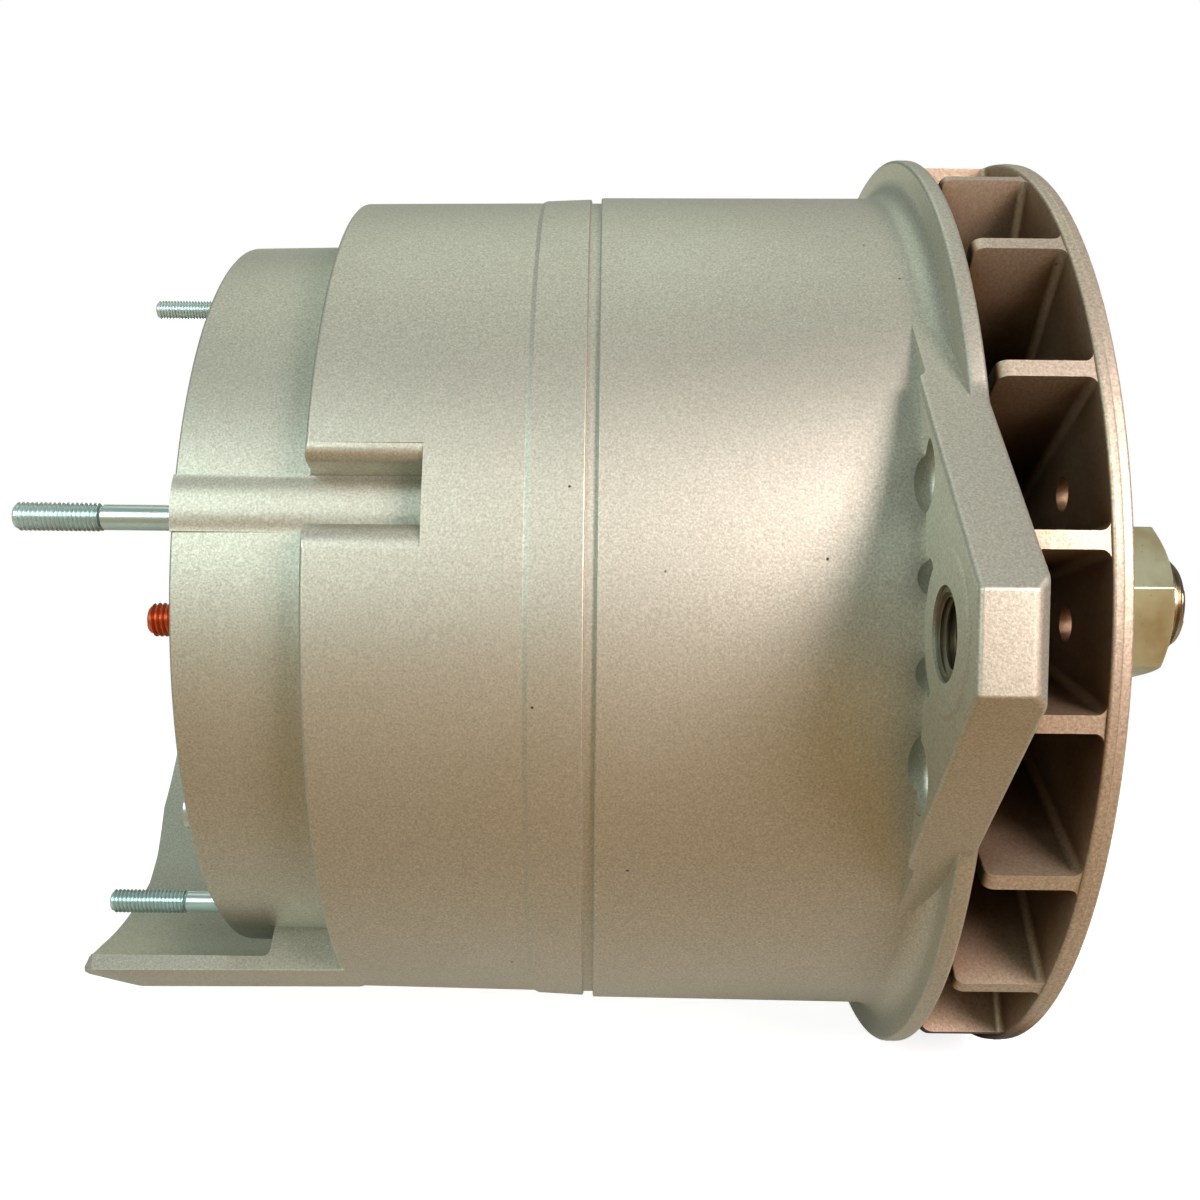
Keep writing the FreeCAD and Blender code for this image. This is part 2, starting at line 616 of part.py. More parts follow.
# Rotor
def front_claw_pole():
    """Pole half at the drive end: a disc with tapered claws that reach over the coil."""
    inner, face = POLE_INNER_FACES[1], STATOR_ENDS[1]
    tip = face - CLAW_LENGTH
    neck = POLE_BASE_R - CLAW_NECK
    body = tube(POLE_BASE_R, CORE_SEAT_R, inner, face)
    shell = turned([(face, neck), (face, ROTOR_R, -3.0), (tip, ROTOR_R),
                    (tip, ROTOR_R - CLAW_TIP_THICKNESS), (inner, ROTOR_R - CLAW_ROOT_THICKNESS),
                    (inner, neck)])
    root, end = CLAW_ROOT_WIDTH / 2, CLAW_TIP_WIDTH / 2
    outline = closed_wire([(face + 1, root), (tip - 1, end), (tip - 1, -end), (face + 1, -root)])
    claw = shell.common(Part.Face(outline).extrude(V(0, 0, ROTOR_R + 5)))
    return joined([body] + around(claw, CLAWS))


def rear_claw_pole():
    """Pole half at the slip-ring end, set half a pitch round from the other."""
    middle = sum(STATOR_ENDS) / 2
    return turn(front_claw_pole().mirror(V(middle, 0, 0), AXIS), 180 / CLAWS)


def bobbin():
    """Spool that insulates the field coil from the iron."""
    back, front = POLE_INNER_FACES
    core = POLE_CORE_R + BOBBIN_WALL
    rim = COIL_R + BOBBIN_RIM
    return turned([(back, POLE_CORE_R), (back, rim), (back + BOBBIN_WALL, rim),
                   (back + BOBBIN_WALL, core), (front - BOBBIN_WALL, core),
                   (front - BOBBIN_WALL, rim), (front, rim), (front, POLE_CORE_R)])


def shaft():
    """Stepped shaft with bearing seats, pulley seat, keyways and a threaded end."""
    chamfer = SHAFT_END_CHAMFER
    collar = CORE_SEAT_R + SHOULDER
    shoulder = REAR_BEARING_BORE_R + SHOULDER
    shape = turned([
        (TAIL_END, 0), (TAIL_END, TAIL_R, -0.8), (REAR_BEARING_FACE - 1, TAIL_R),
        (REAR_BEARING_FACE - 1, REAR_BEARING_BORE_R), (REAR_BEARING_FRONT, REAR_BEARING_BORE_R),
        (REAR_BEARING_FRONT, shoulder), (STATOR_ENDS[0] - CORE_SEAT_SPARE, shoulder),
        (STATOR_ENDS[0] - CORE_SEAT_SPARE, CORE_SEAT_R), (STATOR_ENDS[1], CORE_SEAT_R), (STATOR_ENDS[1], collar),
        (FRONT_BEARING_BACK, collar), (FRONT_BEARING_BACK, FRONT_BEARING_BORE_R),
        (FRONT_BEARING_FACE, FRONT_BEARING_BORE_R), (FRONT_BEARING_FACE, FAN_SEAT_R),
        (0, FAN_SEAT_R), (0, SEAT_R), (SEAT_LENGTH, SEAT_R), (SEAT_LENGTH, THREAD_R),
        (SHAFT_END - chamfer, THREAD_R),
        (SHAFT_END, THREAD_R - chamfer), (SHAFT_END, 0)])
    half = KEY_WIDTH / 2
    fan_slot = block(FAN_HUB_BACK + KEY_END_GAP, -KEY_END_GAP, -half, half,
                     FAN_SEAT_R - KEYWAY_DEPTH, FAN_SEAT_R + 1)
    pulley_slot = block(KEY_END_GAP, SEAT_LENGTH - KEY_END_GAP, -half, half,
                        SEAT_R - KEYWAY_DEPTH, SEAT_R + 1)
    return shape.cut([fan_slot, pulley_slot])


def fan_key():
    """Key between the shaft and the fan's hub."""
    half = KEY_WIDTH / 2
    floor = FAN_SEAT_R - KEYWAY_DEPTH
    return block(FAN_HUB_BACK + KEY_END_GAP, -KEY_END_GAP, -half, half, floor, floor + KEY_HEIGHT)


def fan():
    """Cast fan: hub, disc and straight radial blades with rounded free ends."""
    disc_back = FAN_DISC_FRONT - FAN_DISC_THICKNESS
    shape = turned([
        (FAN_HUB_BACK, FAN_SEAT_R), (FAN_HUB_BACK, FAN_HUB_R, -1.5), (disc_back, FAN_HUB_R, 6.0),
        (disc_back, FAN_R, -0.5), (FAN_DISC_FRONT, FAN_R, -0.5), (FAN_DISC_FRONT, FAN_HUB_R),
        (0, FAN_HUB_R), (0, FAN_SEAT_R)])
    corner = BLADE_CORNER_R
    outline = closed_wire([
        (disc_back + 1, BLADE_INNER_R), (BLADE_END, BLADE_INNER_R, corner),
        (BLADE_END, BLADE_TIP_R, corner), (disc_back + 1, BLADE_TIP_R)])
    blade = Part.Face(outline).extrude(V(0, 0, BLADE_THICKNESS))
    blade.translate(V(0, 0, -BLADE_THICKNESS / 2))
    shape = joined([shape] + around(blade, BLADES, BLADE_FIRST))
    half = KEY_WIDTH / 2
    cuts = [block(FAN_HUB_BACK, 0, -half, half, 0, FAN_SEAT_R - KEYWAY_DEPTH + KEY_HEIGHT)]
    for side in (-1, 1):
        place = at(BALANCE_CIRCLE_R, BLADE_FIRST + side * 180 / BLADES)
        cuts.append(rod(BALANCE_HOLE_R, disc_back, FAN_DISC_FRONT, *place))
    return shape.cut(cuts)


def shaft_nut():
    """Hexagon nut with both faces chamfered."""
    corner_r = NUT_FLATS / math.sqrt(3)
    face_r = NUT_FLATS / 2 * NUT_FACE_RATIO
    hexagon = [at(corner_r, NUT_TURN + 60 * i) for i in range(6)]
    form = turned([(NUT_BACK, 0), (NUT_BACK, face_r), (NUT_BACK + NUT_CHAMFER, corner_r + 0.3),
                   (NUT_FACE - NUT_CHAMFER, corner_r + 0.3), (NUT_FACE, face_r), (NUT_FACE, 0)])
    shape = plate(hexagon, NUT_BACK, NUT_FACE).common(form)
    return shape.cut(rod(THREAD_R + THREAD_CLEARANCE, NUT_BACK, NUT_FACE))


def slip_ring_insulator():
    """Moulded sleeve on the shaft's tail, with a wall on each side of each slip ring."""
    back, front = SLIP_INSULATOR_ENDS
    core = SLIP_RING_R - SLIP_RING_WALL
    shape = tube(SLIP_RING_R - SLIP_RING_STAND, TAIL_R, back, front)
    half = SLIP_RING_WIDTH / 2
    return shape.cut([tube(SLIP_RING_R, core, x - half, x + half) for x in SLIP_RING_AT])


def slip_rings():
    """Two copper rings."""
    half = SLIP_RING_WIDTH / 2
    core = SLIP_RING_R - SLIP_RING_WALL
    return [tube(SLIP_RING_R, core, x - half, x + half) for x in SLIP_RING_AT]


# Bearings
def ball_bearing():
    """Inner ring, outer ring, balls and cage of the drive-end bearing."""
    middle = (FRONT_BEARING_BACK + FRONT_BEARING_FACE) / 2
    pitch = (FRONT_BEARING_R + FRONT_BEARING_BORE_R) / 2
    reach = BALL_R + BALL_GAP
    groove = BALL_R * GROOVE_RATIO
    ends = (FRONT_BEARING_BACK, FRONT_BEARING_FACE)
    inner = tube(pitch - reach + LAND_DEPTH, FRONT_BEARING_BORE_R, *ends)
    inner = inner.cut(Part.makeTorus(pitch - reach + groove, groove, V(middle, 0, 0), AXIS))
    outer = tube(FRONT_BEARING_R, pitch + reach - LAND_DEPTH, *ends)
    outer = outer.cut(Part.makeTorus(pitch + reach - groove, groove, V(middle, 0, 0), AXIS))
    balls = around(Part.makeSphere(BALL_R, V(middle, pitch, 0)), BALLS)
    thick, width = BALL_CAGE_THICKNESS / 2, BALL_CAGE_WIDTH / 2
    cage = tube(pitch + thick, pitch - thick, middle - width, middle + width)
    hole = Part.makeCylinder(BALL_R + CAGE_POCKET_GAP, CAGE_CUT,
                              V(middle, pitch - CAGE_CUT / 2, 0), V(0, 1, 0))
    return inner, outer, balls, cage.cut(around(hole, BALLS))


def roller_bearing():
    """Inner ring, outer ring, rollers and cage of the slip-ring-end bearing."""
    middle = (REAR_BEARING_FACE + REAR_BEARING_FRONT) / 2
    pitch = INNER_RACE_R + ROLLER_GAP + ROLLER_R
    ends = (REAR_BEARING_FACE, REAR_BEARING_FRONT)
    inner = tube(INNER_RACE_R, REAR_BEARING_BORE_R, *ends)
    outer = tube(REAR_BEARING_R, pitch + ROLLER_R + ROLLER_GAP, *ends)
    half = ROLLER_LENGTH / 2
    rollers = around(rod(ROLLER_R, middle - half, middle + half, pitch, 0), ROLLERS)
    thick, width = ROLLER_CAGE_THICKNESS / 2, ROLLER_CAGE_WIDTH / 2
    cage = tube(pitch + thick, pitch - thick, middle - width, middle + width)
    side = ROLLER_R + CAGE_POCKET_GAP
    hole = block(middle - half - CAGE_POCKET_GAP, middle + half + CAGE_POCKET_GAP,
                 pitch - CAGE_CUT / 2, pitch + CAGE_CUT / 2, -side, side)
    return inner, outer, rollers, cage.cut(around(hole, ROLLERS))


def shaft_seal():
    """Seal ring that runs on the spacer in front of the drive-end bearing."""
    return tube(SEAL_R, SPACER_R + BRUSH_GAP, FRONT_HUB_FACE - SEAL_WIDTH, FRONT_HUB_FACE)


def bearing_retainer():
    """Ring that holds the drive-end bearing in its hub."""
    face = FRONT_BEARING_BACK
    shape = tube(FRONT_HUB_R - RETAINER_STEP, FRONT_BEARING_R - RETAINER_LIP,
                 face - RETAINER_THICKNESS, face)
    return shape.cut([rod(SMALL_SCREW[0], face - RETAINER_THICKNESS, face, y, z)
                      for y, z in retainer_places()])


def retainer_screws():
    """Screws through the hub into the retainer."""
    radius, head_r, head_length = SMALL_SCREW
    end = FRONT_BEARING_BACK - RETAINER_THICKNESS
    return [socket_screw(radius, (head_r, head_length), FRONT_HUB_FACE, end, y, z)
            for y, z in retainer_places()]


# Brushes and regulator
def brush(x):
    """Carbon brush with its foot hollowed to the slip ring."""
    half_x, half_y = BRUSH[0] / 2, BRUSH[1] / 2
    shape = block(x - half_x, x + half_x, -half_y, half_y, SLIP_RING_R / 2, BRUSH_TOP)
    return shape.cut(rod(BRUSH_FOOT, x - half_x, x + half_x))


def brush_spring(x):
    """Coil spring of square wire between a brush and its guide's cap."""
    margin = SPRING_WIRE * SPRING_END_RATIO
    height = BRUSH_SPRING_LENGTH - 2 * margin
    helix = Part.makeHelix(height / SPRING_TURNS, height, SPRING_R)
    half = SPRING_WIRE / 2
    corners = [V(SPRING_R - half, 0, -half), V(SPRING_R + half, 0, -half),
               V(SPRING_R + half, 0, half), V(SPRING_R - half, 0, half)]
    profile = Part.makePolygon(corners + corners[:1])
    spring = Part.Wire(helix.Edges).makePipeShell([profile], True, True)
    spring.translate(V(x, 0, BRUSH_TOP + margin))
    return spring


def brush_holder():
    """Moulded guide for both brushes, with a foot that is screwed to the rear wall."""
    half_x, half_y = BRUSH[0] / 2 + GUIDE_CLEARANCE, BRUSH[1] / 2 + GUIDE_CLEARANCE
    back = SLIP_RING_AT[1] - half_x - GUIDE_WALL
    width, low, high, thickness = HOLDER_FLANGE
    side = half_y + GUIDE_WALL
    shape = block(back, SINK_BACK, -side, side, GUIDE_START, HOLDER_TOP)
    shape = joined([shape, block(SINK_BACK - thickness, SINK_BACK, -width, width, low, high)])
    cuts = [block(x - half_x, x + half_x, -half_y, half_y, GUIDE_START, SPRING_TOP)
            for x in SLIP_RING_AT]
    cuts += [rod(FINE_SCREW[0], SINK_BACK - thickness, SINK_BACK, y, z) for y, z in HOLDER_SCREWS]
    return shape.cut(cuts)


def regulator():
    """Regulator case on top of the brush holder."""
    back, left, right, height = REGULATOR
    shape = block(back, SINK_BACK, left, right, HOLDER_TOP, HOLDER_TOP + height)
    edges = [e for e in shape.Edges if abs(e.CenterOfMass.x - back) < 0.01]
    shape = shape.makeFillet(REGULATOR_EDGE_R, edges)
    return shape.cut([rod(FINE_SCREW[0], back, SINK_BACK, y, z) for y, z in REGULATOR_SCREWS])


def fine_screws(places, seat):
    """Small screws into the rear wall."""
    radius, head_r, head_length = FINE_SCREW
    return [socket_screw(radius, (head_r, head_length), seat, REAR_WALL_FACES[1], y, z)
            for y, z in places]


# Rectifier
def heat_sink(face, span, diodes, screws):
    """Curved plate with holes for its diodes and screws."""
    back = face - HEAT_SINK_THICKNESS
    shape = arc_block(*HEAT_SINK_R, back, face, *span)
    cuts = [rod(DIODE_R, back, face, *at(DIODE_CIRCLE_R, angle)) for angle in diodes]
    cuts += [rod(SMALL_SCREW[0], back, face, *at(SINK_SCREW_CIRCLE_R, angle)) for angle in screws]
    if span == POSITIVE_SPAN:
        cuts.append(rod(STUD_COPPER[0], back, face, *STUD_COPPER[1:3]))
    return shape.cut(cuts)


def diodes_in(face, angles):
    """Press-fit diodes with their wires."""
    back = face - DIODE_LENGTH
    shapes = []
    for angle in angles:
        y, z = at(DIODE_CIRCLE_R, angle)
        wire = rod(DIODE_WIRE_R, back - DIODE_WIRE_LENGTH, back, y, z)
        shapes.append(joined([rod(DIODE_R, back, face, y, z), wire]))
    return shapes


def sink_screws():
    """Screws that hold both heat sinks to the rear wall."""
    radius, head_r, head_length = SMALL_SCREW
    shapes = []
    for face, angles in ((POSITIVE_FACE, POSITIVE_SCREWS), (SINK_BACK, NEGATIVE_SCREWS)):
        seat = face - HEAT_SINK_THICKNESS
        shapes += [socket_screw(radius, (head_r, head_length), seat, REAR_WALL_FACES[1],
                                *at(SINK_SCREW_CIRCLE_R, angle)) for angle in angles]
    return shapes


def sink_spacers():
    """Insulating posts that hold the positive heat sink off the wall."""
    return [tube(POST_R, SMALL_SCREW[0], POSITIVE_FACE, SINK_BACK, *at(SINK_SCREW_CIRCLE_R, angle))
            for angle in POSITIVE_SCREWS]


# Rear cover and studs
def clear_of_studs(angle):
    """Whether a cover slot at this angle misses the insulated studs."""
    needed = STUD_COPPER[0] + BUSH_WALL + BUSH_FLANGE + COVER_SLOT_WIDTH / 2 + 1
    for _, y, z in STUDS_IN_COVER:
        along = y * math.cos(math.radians(angle)) + z * math.sin(math.radians(angle))
        nearest = min(max(along, COVER_SLOT_R[0]), COVER_SLOT_R[1])
        slot_y, slot_z = at(nearest, angle)
        if math.hypot(y - slot_y, z - slot_z) < needed:
            return False
    return True


def rear_cover():
    """Disc with air slots and the holes for studs and screws."""
    shape = rod(COVER_R, REAR_EDGE, COVER_BACK)
    half = COVER_SLOT_WIDTH / 2
    start, end = COVER_SLOT_R
    slot = plate([(start, -half, half * 0.99), (end, -half, half * 0.99),
                  (end, half, half * 0.99), (start, half, half * 0.99)], REAR_EDGE, COVER_BACK)
    angles = [360 / COVER_SLOTS * i for i in range(COVER_SLOTS)]
    cuts = [turn(slot, angle) for angle in angles if clear_of_studs(angle)]
    for radius, y, z in STUDS_IN_COVER:
        cuts.append(rod(radius + BUSH_WALL, REAR_EDGE, COVER_BACK, y, z))
    for radius, y, z in STUDS_IN_HOUSING:
        cuts.append(rod(radius + HOLE_CLEARANCE, REAR_EDGE, COVER_BACK, y, z))
    cuts += [rod(SMALL_SCREW[0] + HOLE_CLEARANCE, REAR_EDGE, COVER_BACK, *at(COVER_SCREW_CIRCLE_R, a))
             for a in COVER_SCREWS]
    return shape.cut(cuts)


def cover_screws():
    """Screws that hold the rear cover."""
    radius, head_r, head_length = SMALL_SCREW
    return [socket_screw(radius, (head_r, head_length), REAR_EDGE, COVER_BACK + COVER_BITE,
                         *at(COVER_SCREW_CIRCLE_R, angle)) for angle in COVER_SCREWS]


def stud(radius, y, z, tip, thread, mouth, root):
    """Stud along X: free thread with a chamfered tip, slimmer shank, and the end in its hole."""
    shape = rod(radius, tip, tip + thread, y, z)
    edges = [e for e in shape.Edges if abs(e.CenterOfMass.x - tip) < 0.01]
    shape = shape.makeChamfer(STUD_TIP, edges)
    shank = rod(radius * SHANK_RATIO, tip + thread, mouth, y, z)
    return joined([shape, shank, rod(radius, mouth, root, y, z)])


def output_stud():
    """Copper stud whose head is clamped under the positive heat sink."""
    radius, y, z = STUD_COPPER[:3]
    head = [(y + a, z + b) for a, b in (at(COPPER_HEAD[0], 60 * i) for i in range(6))]
    shape = stud(*STUD_COPPER, POSITIVE_FACE - HEAT_SINK_THICKNESS, POSITIVE_FACE)
    return joined([shape, plate(head, POSITIVE_FACE, POSITIVE_FACE + COPPER_HEAD[1])])


def terminal_bushes():
    """Insulating bushes where the two inner studs leave the cover."""
    shapes = []
    for radius, y, z in STUDS_IN_COVER:
        outer = radius + BUSH_WALL
        sleeve = rod(outer, REAR_EDGE, COVER_BACK, y, z)
        rim = rod(outer + BUSH_FLANGE, REAR_EDGE - BUSH_STAND, REAR_EDGE, y, z)
        shapes.append(joined([sleeve, rim]).cut(rod(radius, REAR_EDGE - BUSH_STAND, COVER_BACK, y, z)))
    return shapes


def main():
    """Build and write every piece."""
    front_inner, front_outer, balls, ball_cage = ball_bearing()
    rear_inner, rear_outer, rollers, roller_cage = roller_bearing()
    lug_face = FLANGE_FRONT - LUG_THICKNESS
    wall_back, wall_front = REAR_WALL_FACES
    save({
        "drive_end_housing": drive_end_housing(),
        "slip_ring_end_housing": slip_ring_end_housing(),
        "rear_cover": rear_cover(),
        "cover_screws": cover_screws(),
        "housing_screws": [socket_screw(HOUSING_SCREW_R, HOUSING_SCREW_HEAD, HOUSING_SCREW_SEAT,
                                        HOUSING_SCREW_END, y, z)
                           for _, y, z in housing_screw_places()],
        "lug_thread_insert": tube(INSERT_R, LUG_THREAD_R, lug_face, FLANGE_FRONT, -LUG_HOLE_AT, 0),
        "front_foot_bush": tube(FOOT_BUSH_R, FOOT_BORE_R, *FRONT_FOOT_X, FOOT_AT, 0),
        "rear_foot_bush": tube(FOOT_BUSH_R, FOOT_BORE_R, *REAR_FOOT_X, FOOT_AT, 0),
        "stator_core": stator_core(),
        "stator_winding": stator_winding(),
        "front_bearing_outer_ring": front_outer,
        "front_bearing_inner_ring": front_inner,
        "front_bearing_balls": balls,
        "front_bearing_cage": ball_cage,
        "bearing_retainer": bearing_retainer(),
        "retainer_screws": retainer_screws(),
        "shaft_seal": shaft_seal(),
        "rear_bearing_outer_ring": rear_outer,
        "rear_bearing_inner_ring": rear_inner,
        "rear_bearing_rollers": rollers,
        "rear_bearing_cage": roller_cage,
        "shaft": shaft(),
        "fan_key": fan_key(),
        "fan": fan(),
        "spacer_ring": tube(SPACER_R, FAN_SEAT_R, FRONT_BEARING_FACE, FAN_HUB_BACK),
        "shaft_nut": shaft_nut(),
        "spring_washer": tube(WASHER_R, THREAD_R + 2 * THREAD_CLEARANCE, WASHER_BACK, NUT_BACK),
        "drive_end_claw_pole": front_claw_pole(),
        "slip_ring_end_claw_pole": rear_claw_pole(),
        "pole_core": tube(POLE_CORE_R, CORE_SEAT_R, *POLE_INNER_FACES),
        "coil_bobbin": bobbin(),
        "field_coil": tube(COIL_R, POLE_CORE_R + BOBBIN_WALL, POLE_INNER_FACES[0] + BOBBIN_WALL,
                           POLE_INNER_FACES[1] - BOBBIN_WALL),
        "slip_ring_insulator": slip_ring_insulator(),
        "slip_rings": slip_rings(),
        "brush_holder": brush_holder(),
        "brush_holder_screws": fine_screws(HOLDER_SCREWS, wall_back - HOLDER_FLANGE[3]),
        "front_brush": brush(SLIP_RING_AT[0]),
        "rear_brush": brush(SLIP_RING_AT[1]),
        "front_brush_spring": brush_spring(SLIP_RING_AT[0]),
        "rear_brush_spring": brush_spring(SLIP_RING_AT[1]),
        "regulator": regulator(),
        "regulator_screws": fine_screws(REGULATOR_SCREWS, REGULATOR[0]),
        "positive_heat_sink": heat_sink(POSITIVE_FACE, POSITIVE_SPAN, POSITIVE_DIODES,
                                        POSITIVE_SCREWS),
        "negative_heat_sink": heat_sink(SINK_BACK, NEGATIVE_SPAN, NEGATIVE_DIODES,
                                        NEGATIVE_SCREWS),
        "positive_diodes": diodes_in(POSITIVE_FACE, POSITIVE_DIODES),
        "negative_diodes": diodes_in(SINK_BACK, NEGATIVE_DIODES),
        "heat_sink_spacers": sink_spacers(),
        "heat_sink_screws": sink_screws(),
        "output_stud": output_stud(),
        "terminal_stud": stud(*STUD_M8, M8_BOSS_FACE, wall_front),
        "lower_stud": stud(*STUD_M6, COVER_BACK, STUD_ROOT),
        "upper_stud": stud(*STUD_M5, COVER_BACK, STUD_ROOT),
        "terminal_bushes": terminal_bushes(),
    })


main()
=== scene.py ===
"""Studio scene of a heavy-duty alternator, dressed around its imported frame.

Lengths in the classes are millimetres, and every mesh is made in metres. The shaft lies along X with
the drive end at +X, the lug points to -Y, and angles are counted from +Y towards +Z.
"""
import json
import logging
import math
from contextlib import contextmanager
from dataclasses import dataclass
from enum import Enum
from typing import Iterator, Sequence

import bpy
from mathutils import Matrix, Vector

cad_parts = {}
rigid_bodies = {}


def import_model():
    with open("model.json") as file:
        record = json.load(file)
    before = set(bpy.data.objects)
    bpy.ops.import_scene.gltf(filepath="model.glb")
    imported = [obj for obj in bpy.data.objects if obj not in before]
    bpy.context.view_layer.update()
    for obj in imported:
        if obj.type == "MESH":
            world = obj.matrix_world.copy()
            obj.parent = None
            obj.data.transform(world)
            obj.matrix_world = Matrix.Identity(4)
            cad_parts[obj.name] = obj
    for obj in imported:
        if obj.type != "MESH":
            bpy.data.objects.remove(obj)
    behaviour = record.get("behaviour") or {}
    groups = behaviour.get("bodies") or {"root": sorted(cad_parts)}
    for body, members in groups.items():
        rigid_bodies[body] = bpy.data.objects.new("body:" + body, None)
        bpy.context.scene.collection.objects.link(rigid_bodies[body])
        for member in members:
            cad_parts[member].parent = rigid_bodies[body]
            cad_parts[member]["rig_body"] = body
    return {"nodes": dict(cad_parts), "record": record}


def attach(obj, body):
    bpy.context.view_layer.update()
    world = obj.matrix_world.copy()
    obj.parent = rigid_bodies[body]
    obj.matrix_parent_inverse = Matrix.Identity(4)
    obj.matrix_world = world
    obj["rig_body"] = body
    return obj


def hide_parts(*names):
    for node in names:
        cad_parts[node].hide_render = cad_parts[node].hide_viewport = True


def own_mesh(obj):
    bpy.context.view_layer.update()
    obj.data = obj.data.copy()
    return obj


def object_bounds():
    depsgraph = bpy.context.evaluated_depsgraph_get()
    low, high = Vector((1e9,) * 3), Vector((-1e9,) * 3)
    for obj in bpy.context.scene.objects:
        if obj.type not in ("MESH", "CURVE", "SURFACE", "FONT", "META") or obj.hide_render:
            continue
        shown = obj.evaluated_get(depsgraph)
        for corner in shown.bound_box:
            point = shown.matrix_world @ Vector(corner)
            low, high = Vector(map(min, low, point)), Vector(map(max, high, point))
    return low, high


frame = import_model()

CAD_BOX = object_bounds()
LOG = logging.getLogger("alternator")

MM = 0.001
MERGE = 1e-6
LATHE_STEPS = 144
GRID_STEP = 360 / LATHE_STEPS
GRID_GAP = 0.2
SMALL_CORNER = 1.5
SMALL_CORNER_STEPS = 3
CORNER_STEPS = 7
FLAT_ANGLE = 0.6

# Sizes that several pieces share
BARREL_R = 100.0
BARREL_WALL = 8.0
SHELL_INNER_R = BARREL_R - BARREL_WALL + 2
FLANGE_FRONT = -25.7
FLANGE_BACK = -29.5
LIP_R = 98.0
LIP_END = -95.0
STATOR_R = 88.0
STATOR_ENDS = (-118.0, -66.0)
STOP_R = 85.0
STOP_WIDTH = 4.0
COVER_R = 82.0
COVER_THICKNESS = 3.0
REAR_EDGE = -181.4
COVER_BACK = REAR_EDGE + COVER_THICKNESS
STUD_ROOT = -160.0
SHAFT_THREAD_R = 12.0
SHAFT_PITCH = 1.5
LUG_HOLE_AT = 120.5
LUG_FACE_BACK = -38.0
FRONT_BEARING = (-58.0, -39.0)
REAR_BEARING_FRONT = -135.0
FAN_HUB_BACK = -17.0
SCREW_CIRCLE_R = 91.9
SCREW_ANGLES = tuple(195.0 + 60.0 * i for i in range(6))

# Thread form: depth and least core as shares of the pitch, and the shares of a turn where it rises
THREAD_DEPTH = 0.6
THREAD_CORE = 0.2
THREAD_TURN = (0.0, 0.08, 0.44, 0.56, 0.92, 1.0)

Pair = tuple[float, float]
Corner = tuple[float, ...]
Outline = list[tuple[float, float]]
Display = tuple[float, float, float]
Colour = tuple[float, float, float, float]
Piece = bpy.types.Object
Node = bpy.types.Node
Socket = bpy.types.NodeSocket
Tree = bpy.types.NodeTree


class Join(Enum):
    """What a tool piece does to the piece that it is combined with."""

    ADD = "UNION"
    CUT = "DIFFERENCE"
    KEEP = "INTERSECT"


class Texture(Enum):
    """How a surface was made, which sets its fine relief."""

    BLASTED = "blasted"
    TURNED = "turned"
    MOULDED = "moulded"
    WOUND = "wound"
    STACKED = "stacked"


def polar(radius: float, angle: float) -> Pair:
    """The y and z of a point at a radius and an angle in degrees."""
    return radius * math.cos(math.radians(angle)), radius * math.sin(math.radians(angle))


def rounded(corners: Sequence[Corner]) -> Outline:
    """Round or bevel the corners of a closed outline.

    Args:
        corners: Corners (a, b, size). A positive size is a radius, a negative one a bevel, none is sharp.

    Returns:
        The points of the outline, with an arc at each rounded corner.
    """
    points: Outline = []
    for i, corner in enumerate(corners):
        here = Vector(corner[:2])
        size = corner[2] if len(corner) > 2 else 0.0
        if not size:
            points.append(tuple(here))
            continue
        back = (Vector(corners[i - 1][:2]) - here).normalized()
        ahead = (Vector(corners[(i + 1) % len(corners)][:2]) - here).normalized()
        if size < 0:
            points += [tuple(here - back * size), tuple(here - ahead * size)]
            continue
        half = back.angle(ahead) / 2
        centre = here + (back + ahead).normalized() * size / math.sin(half)
        first = here + back * size / math.tan(half) - centre
        last = here + ahead * size / math.tan(half) - centre
        sweep = first.angle_signed(last)
        fineness = SMALL_CORNER_STEPS if size < SMALL_CORNER else CORNER_STEPS
        count = max(2, math.ceil(abs(sweep) / (math.pi / 2) * fineness))
        for step in range(count + 1):
            turn = Matrix.Rotation(-sweep * step / count, 2)
            points.append(tuple(centre + turn @ first))
    return points


def arc(radius: float, start: float, end: float, step: float = GRID_STEP) -> Outline:
    """Points (y, z) on an arc whose inner points lie on the facets of the turned pieces."""
    way = 1 if end > start else -1
    low, high = sorted((start, end))
    inner = [step * i for i in range(math.ceil(low / step), math.floor(high / step) + 1)]
    inner = [angle for angle in inner if low + GRID_GAP < angle < high - GRID_GAP]
    return [polar(radius, angle) for angle in (start, *inner[::way], end)]


def sector(inner: float, outer: float, start: float, end: float) -> Outline:
    """Outline (y, z) of a part of a ring."""
    return arc(inner, start, end) + arc(outer, end, start)


def select_only(piece: Piece) -> None:
    """Make one piece the only selected and active one, in object mode."""
    bpy.ops.object.select_all(action="DESELECT")
    piece.select_set(True)
    bpy.context.view_layer.objects.active = piece


@contextmanager
def editing(piece: Piece) -> Iterator[None]:
    """Edit mode on one piece, with all of its mesh selected."""
    select_only(piece)
    bpy.ops.object.mode_set(mode="EDIT")
    bpy.ops.mesh.select_all(action="SELECT")
    yield
    bpy.ops.object.mode_set(mode="OBJECT")


def close_up(piece: Piece) -> Piece:
    """Merge doubles, drop loose edges and turn every face outwards."""
    with editing(piece):
        bpy.ops.mesh.remove_doubles(threshold=MERGE)
        bpy.ops.mesh.delete_loose()
        bpy.ops.mesh.select_all(action="SELECT")
        bpy.ops.mesh.normals_make_consistent(inside=False)
    return piece


